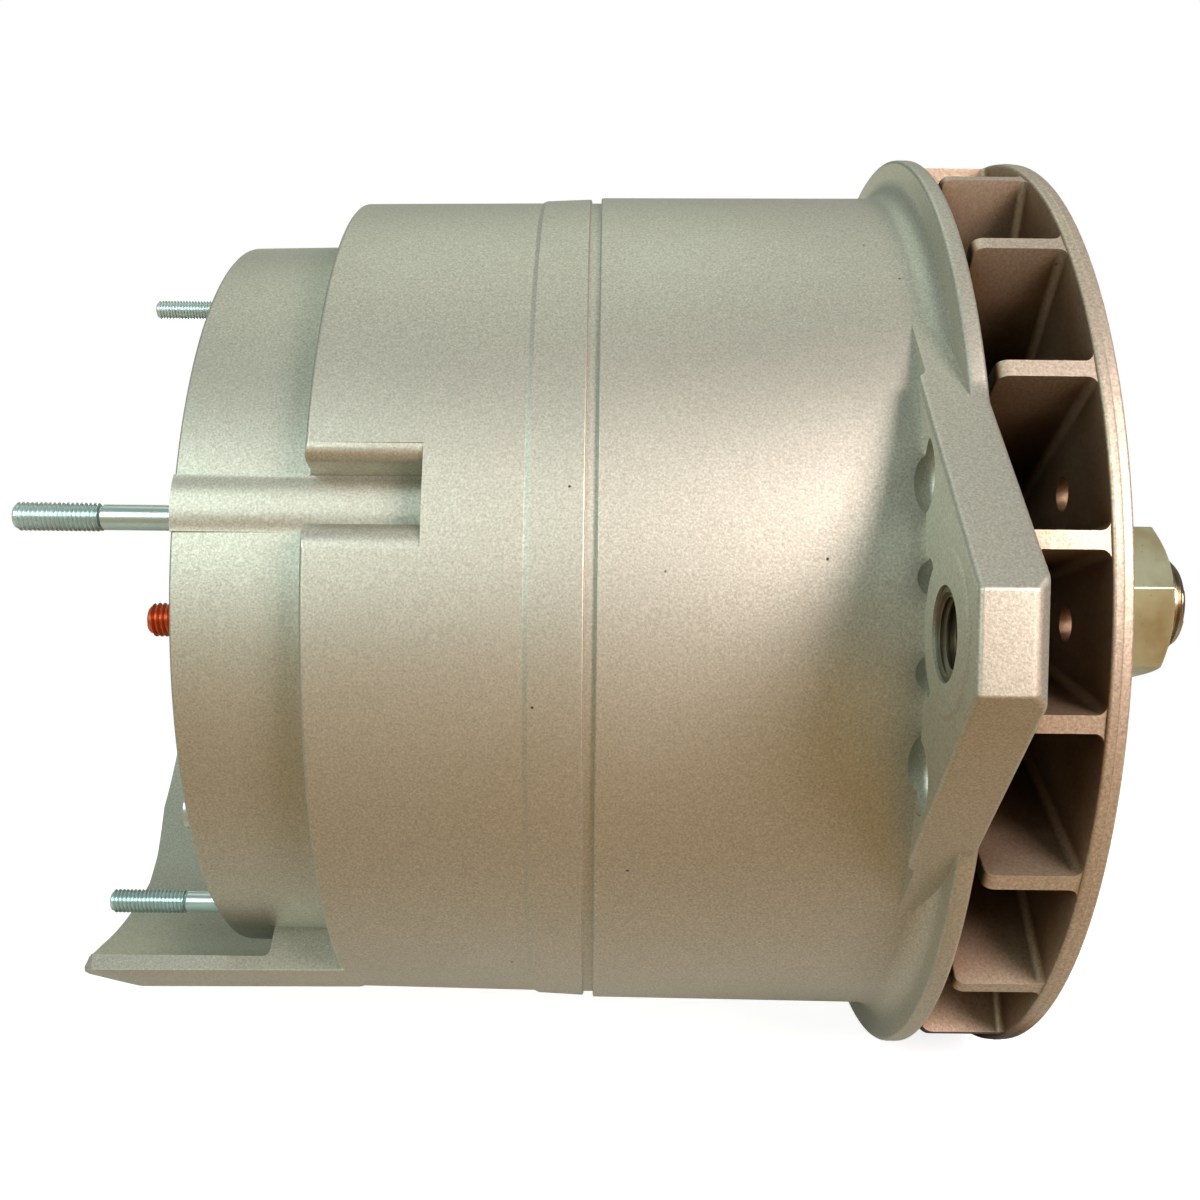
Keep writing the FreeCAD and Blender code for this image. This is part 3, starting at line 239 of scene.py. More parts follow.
def outline(name: str, points: Sequence[Sequence[float]], filled: bool) -> Piece:
    """A circle primitive whose corners are moved onto the points (x, y, z) of an outline."""
    bpy.ops.object.select_all(action="DESELECT")
    fill = "NGON" if filled else "NOTHING"
    bpy.ops.mesh.primitive_circle_add(vertices=len(points), fill_type=fill)
    piece = bpy.context.object
    piece.name = name
    piece.data.name = name
    for vertex, point in zip(piece.data.vertices, points):
        vertex.co = Vector(point) * MM
    return piece


def lathe(name: str, corners: Sequence[Corner], y: float = 0.0, z: float = 0.0,
          steps: int = LATHE_STEPS) -> Piece:
    """Turn an outline about a line along X.

    Args:
        name: Name of the piece.
        corners: Corners (x, radius, size) for rounded().
        y: Place of the line.
        z: Place of the line.
        steps: Facets of a full turn.

    Returns:
        The closed piece.
    """
    points = [(x, y + radius, z) for x, radius in rounded(corners)]
    piece = outline(name, points, False)
    with editing(piece):
        bpy.ops.mesh.spin(steps=steps, angle=math.tau, center=(0, y * MM, z * MM), axis=(1, 0, 0))
    return close_up(piece)


def prism(name: str, points: Sequence[Sequence[float]], along: Sequence[float]) -> Piece:
    """Solid between an outline of points (x, y, z) and its copy moved along a vector."""
    piece = outline(name, points, True)
    with editing(piece):
        bpy.ops.mesh.extrude_region_move(TRANSFORM_OT_translate={"value": Vector(along) * MM})
    return close_up(piece)


def plate(name: str, corners: Sequence[Corner], x0: float, x1: float) -> Piece:
    """Plate across the shaft, from corners (y, z, size)."""
    return prism(name, [(x0, y, z) for y, z in rounded(corners)], (x1 - x0, 0, 0))


def new_primitive(name: str) -> Piece:
    """The primitive that was just added, with its place, turn and size made part of its mesh."""
    piece = bpy.context.object
    piece.name = name
    bpy.ops.object.transform_apply(location=True, rotation=True, scale=True)
    return piece


def rod(name: str, radius: float, x0: float, x1: float, y: float = 0.0, z: float = 0.0,
        sides: int = 48) -> Piece:
    """Cylinder along X."""
    bpy.ops.object.select_all(action="DESELECT")
    bpy.ops.mesh.primitive_cylinder_add(
        vertices=sides, radius=radius * MM, depth=(x1 - x0) * MM,
        location=((x0 + x1) / 2 * MM, y * MM, z * MM), rotation=(0, math.pi / 2, 0))
    return new_primitive(name)


def egg(name: str, half_widths: Sequence[float], x: float, y: float) -> Piece:
    """Egg shape with half widths along x, y and z, centred at height zero."""
    bpy.ops.object.select_all(action="DESELECT")
    bpy.ops.mesh.primitive_uv_sphere_add(segments=40, ring_count=24, radius=MM,
                                         location=(x * MM, y * MM, 0), scale=half_widths)
    return new_primitive(name)


def copy_of(piece: Piece, angle: float = 0.0) -> Piece:
    """Copy of a piece with its own mesh, turned about the shaft."""
    copy = piece.copy()
    copy.data = piece.data.copy()
    bpy.context.scene.collection.objects.link(copy)
    copy.data.transform(Matrix.Rotation(math.radians(angle), 4, "X"))
    return copy


def around(piece: Piece, angles: Sequence[float]) -> list[Piece]:
    """Copies of a piece at several angles about the shaft, which stand for the piece itself."""
    copies = [copy_of(piece, angle) for angle in angles]
    bpy.data.objects.remove(piece)
    return copies


def evenly(count: int, first: float = 0.0) -> list[float]:
    """Angles spaced evenly round a full turn."""
    return [first + 360.0 * i / count for i in range(count)]


def merged(pieces: Sequence[Piece]) -> Piece:
    """One piece from several that stay apart in its mesh."""
    if len(pieces) > 1:
        select_only(pieces[0])
        for piece in pieces[1:]:
            piece.select_set(True)
        bpy.ops.object.join()
    return pieces[0]


def applied(piece: Piece, modifier: bpy.types.Modifier) -> Piece:
    """The piece with a modifier made part of its mesh."""
    select_only(piece)
    bpy.ops.object.modifier_apply(modifier=modifier.name)
    return piece


def combine(piece: Piece, how: Join, *tools: Piece) -> Piece:
    """Add, cut or keep what tool pieces cover. The tools lie clear of each other and are used up."""
    tool = merged(tools)
    modifier = piece.modifiers.new("combine", "BOOLEAN")
    modifier.operation = how.value
    modifier.solver = "EXACT"
    modifier.object = tool
    applied(piece, modifier)
    bpy.data.objects.remove(tool)
    return piece


def soften(piece: Piece, width: float, angle: float = 30.0, segments: int = 3) -> Piece:
    """Round the edges that turn by more than an angle."""
    modifier = piece.modifiers.new("soften", "BEVEL")
    modifier.width = width * MM
    modifier.segments = segments
    modifier.limit_method = "ANGLE"
    modifier.angle_limit = math.radians(angle)
    modifier.miter_outer = "MITER_ARC"
    return applied(piece, modifier)


def threaded_rod(name: str, radius: float, pitch: float, start: float, end: float, chamfer: float,
                 y: float = 0.0, z: float = 0.0, steps: int = 48) -> Piece:
    """Closed rod along X with a V thread over its whole length.

    Args:
        name: Name of the piece.
        radius: Radius over the crests.
        pitch: Distance between crests.
        start: Chamfered end.
        end: Other end, where the thread runs out.
        chamfer: Depth of the chamfer at the start.
        y: Place of its line.
        z: Place of its line.
        steps: Facets of a turn.

    Returns:
        The closed piece, which points from start to end along +X or -X.
    """
    way = 1 if end > start else -1
    root = radius - THREAD_DEPTH * pitch
    profile = zip(THREAD_TURN, (root, root, radius, radius, root, root))
    points = [(pitch * (share - 1), across, 0) for share, across in profile]
    piece = outline(name, points, False)
    with editing(piece):
        bpy.ops.mesh.select_all(action="DESELECT")
    piece.data.edges[-1].select = True
    select_only(piece)
    bpy.ops.object.mode_set(mode="EDIT")
    bpy.ops.mesh.delete(type="EDGE")
    bpy.ops.object.mode_set(mode="OBJECT")
    length = abs(end - start)
    screw = piece.modifiers.new("screw", "SCREW")
    screw.axis = "X"
    screw.angle = math.tau
    screw.screw_offset = pitch * MM
    screw.iterations = math.ceil(length / pitch) + 1
    screw.steps = steps
    screw.render_steps = steps
    screw.use_merge_vertices = True
    screw.merge_threshold = MERGE
    applied(piece, screw)
    least = root - THREAD_CORE * pitch
    for vertex in piece.data.vertices:
        along = vertex.co.x / MM
        across = math.hypot(vertex.co.y, vertex.co.z) / MM
        limit = min(radius - chamfer + along, root + (length - along) / pitch * (radius - root))
        new = min(across, max(limit, least))
        if along <= 0 or along >= length:
            new = least if along >= length else radius - chamfer
        along = min(max(along, 0.0), length)
        vertex.co = Vector(((start + way * along) * MM, vertex.co.y * new / across,
                            vertex.co.z * new / across))
    with editing(piece):
        bpy.ops.mesh.remove_doubles(threshold=MERGE)
        bpy.ops.mesh.dissolve_degenerate(threshold=MERGE)
        bpy.ops.mesh.select_all(action="SELECT")
        bpy.ops.mesh.fill_holes(sides=0)
    piece.data.transform(Matrix.Translation((0, y * MM, z * MM)))
    return close_up(piece)


def refined(node: str, softness: float = 0.0, angle: float = 40.0) -> Piece:
    """Copy of a CAD node with its triangles merged and, where asked, its edges rounded.

    Args:
        node: Name of the node.
        softness: Width of the rounding, or 0 for sharp edges.
        angle: Edges that turn by less than this stay as they are.

    Returns:
        The new piece.
    """
    source = frame["nodes"][node]
    piece = source.copy()
    piece.data = source.data.copy()
    piece.name = node + "_finished"
    piece.parent = None
    piece.matrix_world = Matrix.Identity(4)
    for key in list(piece.keys()):
        del piece[key]
    piece.data.materials.clear()
    bpy.context.scene.collection.objects.link(piece)
    with editing(piece):
        bpy.ops.mesh.customdata_custom_splitnormals_clear()
        bpy.ops.mesh.remove_doubles(threshold=MERGE)
        bpy.ops.mesh.dissolve_limited(angle_limit=math.radians(FLAT_ANGLE))
    if softness:
        soften(piece, softness, angle, 2)
    return piece


# Shader building
def linear(colour: Sequence[float]) -> Colour:
    """Scene-linear colour, with alpha, from display values between 0 and 1."""
    straight = [c / 12.92 if c <= 0.04045 else ((c + 0.055) / 1.055) ** 2.4 for c in colour]
    return (*straight, 1.0)


class Bench:
    """Places and joins the nodes of one shader tree."""

    def __init__(self, tree: Tree) -> None:
        """Work on a tree."""
        self.tree = tree

    def put(self, socket: Socket, value: object) -> None:
        """Link another socket into a socket, or set its value."""
        if isinstance(value, Socket):
            self.tree.links.new(value, socket)
        else:
            socket.default_value = value

    def add(self, kind: str, settings: dict[str, object] | None = None,
            **values: object) -> Node:
        """Add a node.

        Args:
            kind: Its type, without the word ShaderNode.
            settings: Its properties.
            values: Its inputs by name, with _ for a space.

        Returns:
            The node.
        """
        node = self.tree.nodes.new("ShaderNode" + kind)
        for name, value in (settings or {}).items():
            setattr(node, name, value)
        for name, value in values.items():
            self.put(node.inputs[name.replace("_", " ")], value)
        return node

    def join(self, kind: str, settings: dict[str, object] | None, *parts: object) -> Node:
        """Add a node whose inputs are given in their order."""
        node = self.add(kind, settings)
        for socket, value in zip(node.inputs, parts):
            self.put(socket, value)
        return node

    def math(self, operation: str, *values: object) -> Socket:
        """Result of a math node."""
        return self.join("Math", {"operation": operation}, *values).outputs[0]

    def total(self, *parts: tuple[object, float]) -> Socket:
        """Sum of values, each with its share."""
        result = self.math("MULTIPLY", *parts[0])
        for value, share in parts[1:]:
            result = self.math("ADD", result, self.math("MULTIPLY", value, share))
        return result

    def blend(self, share: object, first: object, second: object) -> Socket:
        """Colour between two colours."""
        node = self.add("Mix", {"data_type": "RGBA"})
        for index, value in ((0, share), (6, first), (7, second)):
            self.put(node.inputs[index], value)
        return node.outputs[2]

    def noise(self, vector: object, scale: object, detail: float = 2.0,
              roughness: float = 0.5) -> Socket:
        """Value of a noise texture."""
        node = self.add("TexNoise", None, Vector=vector, Scale=scale, Detail=detail,
                        Roughness=roughness)
        return node.outputs["Fac"]

    def spread(self, value: object, low: object, high: object, to_low: object = 0.0,
               to_high: object = 1.0) -> Socket:
        """Value moved from one range to another, and held at its ends."""
        node = self.add("MapRange", None, Value=value, From_Min=low, From_Max=high,
                        To_Min=to_low, To_Max=to_high)
        return node.outputs["Result"]


class EffectBench(Bench):
    """Bench in a new shader node group."""

    def __init__(self, name: str, inputs: dict[str, float], outputs: Sequence[str]) -> None:
        """Start the group.

        Args:
            name: Name of the effect.
            inputs: Its number inputs with their usual values. A Vector input is always there.
            outputs: Names of the values that it puts out.
        """
        super().__init__(bpy.data.node_groups.new(name, "ShaderNodeTree"))
        sockets = self.tree.interface
        sockets.new_socket("Vector", in_out="INPUT", socket_type="NodeSocketVector")
        for label, value in inputs.items():
            socket = sockets.new_socket(label, in_out="INPUT", socket_type="NodeSocketFloat")
            socket.default_value = value
        for label in outputs:
            sockets.new_socket(label, in_out="OUTPUT", socket_type="NodeSocketFloat")
        self.given = self.tree.nodes.new("NodeGroupInput").outputs
        self.result = self.tree.nodes.new("NodeGroupOutput").inputs

    def give(self, **values: object) -> Tree:
        """Put out the named values, and hand back the finished group."""
        for name, value in values.items():
            self.put(self.result[name], value)
        return self.tree


def texture_bench(name: str, grain: float) -> tuple[EffectBench, Socket, Socket, Socket]:
    """Start the node group of a texture, which puts out its tone, height and specks.

    Args:
        name: Name of the texture.
        grain: Its usual grains or lines per metre.

    Returns:
        A bench in the group, and the group's vector, grain and pits.
    """
    bench = EffectBench(name, {"Grain": grain, "Pits": 1.0}, ("Tone", "Height", "Specks"))
    return bench, bench.given["Vector"], bench.given["Grain"], bench.given["Pits"]


def axis_parts(bench: Bench, vector: object) -> tuple[Socket, Socket]:
    """Place along the X axis and distance from it."""
    parts = bench.add("SeparateXYZ", None, Vector=vector)
    y, z = parts.outputs["Y"], parts.outputs["Z"]
    radius = bench.math("SQRT", bench.math("ADD", bench.math("MULTIPLY", y, y),
                                           bench.math("MULTIPLY", z, z)))
    return parts.outputs["X"], radius


class Effects:
    """The shared surface effects, each a node group that is built once."""

    def __init__(self) -> None:
        """Build the groups."""
        self.relief = {
            Texture.BLASTED: self.blasted(),
            Texture.TURNED: self.turned(),
            Texture.MOULDED: self.moulded(),
            Texture.WOUND: self.wound(),
            Texture.STACKED: self.stacked(),
        }
        self.wear_and_highlight = self.edge_wear_and_highlight()
        self.hollow_shade_masks = self.painted_hollow_shade()

    @staticmethod
    def blasted() -> Tree:
        """Cast metal after bead blasting: fine grain, faint blotches and a few pits."""
        bench, vector, grain, pits = texture_bench("blasted_casting", 1900.0)
        broad = bench.noise(vector, 24.0, 4.0, 0.6)
        patches = bench.noise(vector, 140.0, 3.0, 0.6)
        fine = bench.noise(vector, grain, 2.0, 0.7)
        coarse = bench.noise(vector, bench.math("MULTIPLY", grain, 0.3), 2.0, 0.5)
        cells = bench.add("TexVoronoi", None, Vector=vector, Scale=165.0)
        chosen = bench.math("GREATER_THAN", bench.add("SeparateXYZ", None,
                            Vector=cells.outputs["Color"]).outputs["X"], 0.90)
        dot = bench.spread(cells.outputs["Distance"], 0.02, 0.06, 0.8, 0.0)
        specks = bench.math("MULTIPLY", bench.math("MULTIPLY", dot, chosen), pits)
        tone = bench.total((broad, 0.4), (patches, 0.15), (fine, 0.45))
        height = bench.math("SUBTRACT", bench.total((fine, 0.94), (coarse, 0.06)), specks)
        return bench.give(Tone=tone, Height=height, Specks=specks)

    @staticmethod
    def turned() -> Tree:
        """Machined metal: fine rings round the piece's own axis, which lies along X."""
        bench, vector, grain, pits = texture_bench("turned_metal", 2600.0)
        along, radius = axis_parts(bench, vector)
        rings = bench.add("CombineXYZ", None, X=along, Y=radius)
        fine = bench.noise(rings.outputs[0], grain, 2.0, 0.6)
        broad = bench.noise(rings.outputs[0], 260.0, 3.0, 0.6)
        stain = bench.noise(vector, 90.0, 4.0, 0.6)
        spots = bench.spread(bench.noise(vector, 600.0, 2.0), 0.68, 0.74)
        return bench.give(Tone=bench.total((broad, 0.4), (stain, 0.6)), Height=fine,
                          Specks=bench.math("MULTIPLY", spots, pits))

    @staticmethod
    def moulded() -> Tree:
        """Moulded plastic, rubber or paint: a soft orange-peel and slight shade changes."""
        bench, vector, grain, pits = texture_bench("moulded_skin", 900.0)
        peel = bench.noise(vector, grain, 2.0, 0.5)
        broad = bench.noise(vector, 40.0, 4.0, 0.6)
        dust_and_painted_shade = bench.spread(bench.noise(vector, 1400.0, 1.0), 0.70, 0.78)
        return bench.give(Tone=broad, Height=peel, Specks=bench.math("MULTIPLY", dust_and_painted_shade, pits))

    @staticmethod
    def wound() -> Tree:
        """Enamelled wire laid round the shaft, turn beside turn."""
        bench, vector, grain, pits = texture_bench("wound_wire", 520.0)
        along, radius = axis_parts(bench, vector)
        drift = bench.math("MULTIPLY", bench.noise(vector, 60.0, 2.0), 0.004)
        place = bench.math("ADD", bench.math("ADD", along, radius), drift)
        turn = bench.math("SINE", bench.math("MULTIPLY", place, bench.math("MULTIPLY", grain, math.tau)))
        varnish = bench.noise(vector, 120.0, 3.0)
        tone = bench.math("ADD", bench.math("MULTIPLY", turn, 0.2), varnish)
        specks = bench.math("MULTIPLY", bench.spread(varnish, 0.66, 0.72), pits)
        return bench.give(Tone=tone, Height=turn, Specks=specks)

    @staticmethod
    def stacked() -> Tree:
        """Punched sheets stacked along the shaft, with a dark line at each joint."""
        bench, vector, grain, pits = texture_bench("stacked_sheets", 1000.0)
        along = bench.add("SeparateXYZ", None, Vector=vector).outputs["X"]
        place = bench.math("FRACT", bench.math("MULTIPLY", along, grain))
        joint = bench.math("LESS_THAN", bench.math("ABSOLUTE", bench.math("SUBTRACT", place, 0.5)), 0.12)
        sheet = bench.math("FLOOR", bench.math("MULTIPLY", along, grain))
        offset = bench.add("CombineXYZ", None, X=sheet)
        shade = bench.add("TexWhiteNoise", {"noise_dimensions": "3D"}, Vector=offset.outputs[0])
        rust = bench.noise(vector, 70.0, 4.0, 0.65)
        tone = bench.total((shade.outputs["Value"], 0.35), (rust, 0.65))
        return bench.give(Tone=tone, Height=bench.math("SUBTRACT", 1.0, joint),
                          Specks=bench.math("MULTIPLY", joint, pits))

    @staticmethod
    def edge_wear_and_highlight() -> Tree:
        """Mask that is 1 near the edges, broken up by a noise, for worn edges and a painted highlight along
        them.
        """
        bench = EffectBench("edge_wear_and_highlight", {"Reach": 0.0006}, ("Edges",))
        soft = bench.add("Bevel", {"samples": 4}, Radius=bench.given["Reach"]).outputs[0]
        true = bench.add("NewGeometry").outputs["Normal"]
        match = bench.join("VectorMath", {"operation": "DOT_PRODUCT"}, soft, true)
        mask = bench.spread(match.outputs["Value"], 0.985, 0.86)
        broken = bench.spread(bench.noise(bench.given["Vector"], 420.0, 3.0), 0.30, 0.62, 0.35, 1.0)
        return bench.give(Edges=bench.math("MULTIPLY", mask, broken))

    @staticmethod
    def painted_hollow_shade() -> Tree:
        """Masks for painted shade at the mouth of a hollow and for the darker painted shade further in."""
        bench = EffectBench("painted_hollow_shade", {"Reach": 0.02}, ("Mouth", "Deep"))
        shade = bench.add("AmbientOcclusion", {"samples": 6}, Distance=bench.given["Reach"]).outputs["AO"]
        return bench.give(Mouth=bench.spread(shade, 0.80, 0.50), Deep=bench.spread(shade, 0.72, 0.32))


def fresh_bench(owner: bpy.types.Material | bpy.types.World) -> Bench:
    """Bench on the emptied shader tree of a material or a world."""
    owner.use_nodes = True
    owner.node_tree.nodes.clear()
    return Bench(owner.node_tree)


# Colour of the painted shade far inside a hollow, the roughness of varnish, and the tones that span a
# finish
PAINTED_HOLLOW_SHADE = (0.07, 0.06, 0.05)
VARNISH_ROUGHNESS = 0.15
TONE_SPAN = (0.34, 0.66)


@dataclass(frozen=True)
class Finish:
    """One finish of the object, as display colours and surface values.

    Attributes:
        slot: The record's material slot.
        colour: Main colour.
        shade: Colour of the darker patches.
        texture: How the surface was made.
        metallic: 0 for paint and plastic, up to 1 for bare metal.
        roughness: Lowest and highest roughness.
        grain: Lines or grains per metre, or 0 for the texture's own.
        depth: Height of the relief in millimetres.
        speck: Colour of pits and stains.
        specks: How strongly they show.
        grit: How much the relief darkens and lightens the colour.
        edge: Colour of worn edges, which also stands for a painted highlight along them.
        wear_and_highlight: How strongly the edges are lightened, as worn metal and a painted highlight.
        centre: The y and z that turned marks run round.
        coat: Clear varnish, from 0 to 1.
        hollows: How strongly painted shade darkens the hollows.
        reach: Size in millimetres of the hollows that get painted shade.
        dust_and_painted_shade: Colour of the painted shade and warm bounce light at a hollow's mouth, which
            turns dark further in.
    """

    slot: str
    colour: Display
    shade: Display
    texture: Texture = Texture.BLASTED
    metallic: float = 1.0
    roughness: Pair = (0.4, 0.5)
    grain: float = 0.0
    depth: float = 0.05
    speck: Display = (0.22, 0.18, 0.14)
    specks: float = 1.0
    grit: float = 0.0
    edge: Display = (0.85, 0.84, 0.80)
    wear_and_highlight: float = 0.5
    centre: Pair = (0.0, 0.0)
    coat: float = 0.0
    hollows: float = 0.0
    reach: float = 10.0
    dust_and_painted_shade: Display = (0.4, 0.36, 0.3)

    def material(self, effects: Effects) -> bpy.types.Material:
        """Build the material.

        Args:
            effects: The shared node groups.

        Returns:
            A node material that reads Object coordinates.
        """
        material = bpy.data.materials.new(self.slot)
        bench = fresh_bench(material)
        place = bench.add("TexCoord").outputs["Object"]
        if self.centre != (0.0, 0.0):
            shift = (0.0, -self.centre[0] * MM, -self.centre[1] * MM)
            place = bench.add("Mapping", None, Vector=place, Location=shift).outputs["Vector"]
        relief = bench.add("Group", {"node_tree": effects.relief[self.texture]}, Vector=place,
                           Pits=self.specks)
        if self.grain:
            relief.inputs["Grain"].default_value = self.grain
        tone = bench.spread(relief.outputs["Tone"], *TONE_SPAN)
        colour = bench.blend(tone, linear(self.shade), linear(self.colour))
        colour = bench.blend(relief.outputs["Specks"], colour, linear(self.speck))
        if self.grit:
            lift = bench.math("MULTIPLY", bench.math("SUBTRACT", relief.outputs["Height"], 0.5), self.grit)
            value = bench.math("ADD", lift, 1.0)
            colour = bench.add("HueSaturation", None, Color=colour, Value=value).outputs[0]
        rough = bench.spread(tone, 0.0, 1.0, self.roughness[1], self.roughness[0])
        # Lighter edges: worn metal and a painted highlight along them.
        if self.wear_and_highlight:
            wear_and_highlight = bench.add("Group", {"node_tree": effects.wear_and_highlight}, Vector=place)
            rubbed_and_lit = bench.math("MULTIPLY", wear_and_highlight.outputs["Edges"], self.wear_and_highlight)
            colour = bench.blend(rubbed_and_lit, colour, linear(self.edge))
        # Painted shade in the hollows: warm painted bounce light and shade at their mouths, darker painted
        # shade further in.
        if self.hollows:
            hollow_shade_masks = bench.add("Group", {"node_tree": effects.hollow_shade_masks}, Reach=self.reach * MM)
            mouth = bench.math("MULTIPLY", hollow_shade_masks.outputs["Mouth"], self.hollows)
            colour = bench.blend(mouth, colour, linear(self.dust_and_painted_shade))
            deep_shade = bench.math("MULTIPLY", hollow_shade_masks.outputs["Deep"], self.hollows)
            colour = bench.blend(deep_shade, colour, linear(PAINTED_HOLLOW_SHADE))
        bump = bench.add("Bump", None, Strength=1.0, Distance=self.depth * MM,
                         Height=relief.outputs["Height"])
        shader = bench.add("BsdfPrincipled", None, Base_Color=colour, Metallic=self.metallic,
                           Roughness=rough, Normal=bump.outputs["Normal"], Coat_Weight=self.coat,
                           Coat_Roughness=VARNISH_ROUGHNESS)
        bench.add("OutputMaterial", None, Surface=shader.outputs["BSDF"])
        return material


FINISHES = (
    Finish("cast_aluminium", (0.78, 0.78, 0.74), (0.755, 0.75, 0.705), metallic=0.85,
           roughness=(0.46, 0.56), depth=0.034, grain=2300.0, grit=1.1, wear_and_highlight=0.35,
           edge=(0.88, 0.89, 0.84)),
    # The fan's hollows get painted shade, with warm painted bounce light at their mouths.
    Finish("fan_aluminium", (0.80, 0.76, 0.70), (0.75, 0.70, 0.64), metallic=0.75,
           roughness=(0.46, 0.58), depth=0.06, grain=1700.0, grit=1.2, wear_and_highlight=0.4,
           edge=(0.90, 0.85, 0.77), hollows=1.0, reach=26.0, dust_and_painted_shade=(0.70, 0.51, 0.30)),
    Finish("plated_nut", (0.80, 0.84, 0.72), (0.62, 0.56, 0.39), Texture.MOULDED, 0.55, (0.28, 0.38),
           depth=0.012, edge=(0.90, 0.92, 0.84), wear_and_highlight=0.7, speck=(0.45, 0.36, 0.22), specks=0.4),
    Finish("cover_steel", (0.10, 0.10, 0.105), (0.07, 0.07, 0.075), Texture.MOULDED, 0.0, (0.38, 0.48),
           depth=0.02, edge=(0.22, 0.22, 0.22), wear_and_highlight=0.4, speck=(0.2, 0.2, 0.2), specks=0.2),
    # The zinc and copper studs get painted shade in the roots of their threads.
    Finish("zinc_steel", (0.90, 0.97, 0.97), (0.84, 0.91, 0.91), Texture.MOULDED, 0.6, (0.22, 0.30),
           depth=0.004, wear_and_highlight=0.0, speck=(0.42, 0.40, 0.34), specks=0.2, hollows=0.3, reach=0.5,
           dust_and_painted_shade=(0.40, 0.43, 0.42)),
    Finish("copper", (0.97, 0.49, 0.30), (0.88, 0.40, 0.23), Texture.MOULDED, 0.55, (0.26, 0.38),
           depth=0.004, wear_and_highlight=0.0, speck=(0.30, 0.12, 0.08), specks=0.3, hollows=0.6, reach=0.6,
           dust_and_painted_shade=(0.42, 0.14, 0.07)),
    Finish("dark_steel", (0.46, 0.44, 0.36), (0.34, 0.32, 0.25), Texture.TURNED, 0.9, (0.36, 0.5),
           depth=0.012, edge=(0.6, 0.59, 0.56), wear_and_highlight=0.6, specks=0.4),
    Finish("shaft_steel", (0.70, 0.65, 0.56), (0.55, 0.50, 0.42), Texture.TURNED, 1.0, (0.22, 0.34),
           depth=0.010, edge=(0.90, 0.88, 0.80), wear_and_highlight=0.6, specks=0.3),
    Finish("spring_steel", (0.34, 0.33, 0.31), (0.24, 0.23, 0.21), Texture.MOULDED, 0.9, (0.34, 0.46),
           depth=0.010, edge=(0.62, 0.61, 0.58), wear_and_highlight=0.6, specks=0.4),
    Finish("laminated_steel", (0.50, 0.47, 0.44), (0.36, 0.31, 0.27), Texture.STACKED, 0.8, (0.42, 0.55),
           depth=0.05, speck=(0.12, 0.10, 0.09), specks=0.8, wear_and_highlight=0.0),
    Finish("enamelled_copper", (0.62, 0.30, 0.14), (0.42, 0.17, 0.07), Texture.WOUND, 0.5, (0.26, 0.38),
           depth=0.25, speck=(0.25, 0.10, 0.05), specks=0.6, wear_and_highlight=0.0, coat=0.6),
    Finish("bearing_steel", (0.80, 0.80, 0.80), (0.72, 0.72, 0.71), Texture.TURNED, 1.0, (0.14, 0.22),
           depth=0.004, edge=(0.9, 0.9, 0.9), wear_and_highlight=0.3, specks=0.1),
    Finish("cage_plastic", (0.62, 0.50, 0.32), (0.52, 0.41, 0.25), Texture.MOULDED, 0.0, (0.42, 0.52),
           depth=0.02, wear_and_highlight=0.0, specks=0.2),
    Finish("seal_rubber", (0.10, 0.095, 0.09), (0.06, 0.055, 0.05), Texture.MOULDED, 0.0, (0.55, 0.68),
           depth=0.03, wear_and_highlight=0.0, speck=(0.2, 0.19, 0.17), specks=0.3),
    Finish("moulded_plastic", (0.13, 0.13, 0.13), (0.09, 0.09, 0.09), Texture.MOULDED, 0.0, (0.40, 0.50),
           depth=0.02, edge=(0.25, 0.25, 0.25), wear_and_highlight=0.3, speck=(0.3, 0.3, 0.3), specks=0.2),
    Finish("bobbin_plastic", (0.70, 0.62, 0.44), (0.62, 0.54, 0.37), Texture.MOULDED, 0.0, (0.42, 0.52),
           depth=0.02, wear_and_highlight=0.0, specks=0.2),
    Finish("regulator_plastic", (0.17, 0.15, 0.13), (0.12, 0.11, 0.10), Texture.MOULDED, 0.0, (0.42, 0.55),
           depth=0.03, edge=(0.3, 0.28, 0.26), wear_and_highlight=0.3, speck=(0.3, 0.3, 0.3), specks=0.3),
    Finish("heat_sink_aluminium", (0.76, 0.76, 0.76), (0.68, 0.68, 0.67), Texture.MOULDED, 0.8,
           (0.34, 0.44), depth=0.015, edge=(0.88, 0.88, 0.88), wear_and_highlight=0.5, specks=0.3),
    Finish("nickel_plate", (0.80, 0.78, 0.73), (0.72, 0.70, 0.65), Texture.MOULDED, 1.0, (0.18, 0.28),
           depth=0.006, wear_and_highlight=0.4, specks=0.2),
    Finish("forged_iron", (0.36, 0.33, 0.31), (0.24, 0.20, 0.18), metallic=0.7, roughness=(0.48, 0.62),
           depth=0.06, grain=1100.0, edge=(0.62, 0.60, 0.57), wear_and_highlight=0.7, speck=(0.30, 0.15, 0.08)),
    Finish("carbon", (0.12, 0.12, 0.125), (0.08, 0.08, 0.085), metallic=0.2, roughness=(0.38, 0.5),
           depth=0.02, wear_and_highlight=0.0, specks=0.5),
)


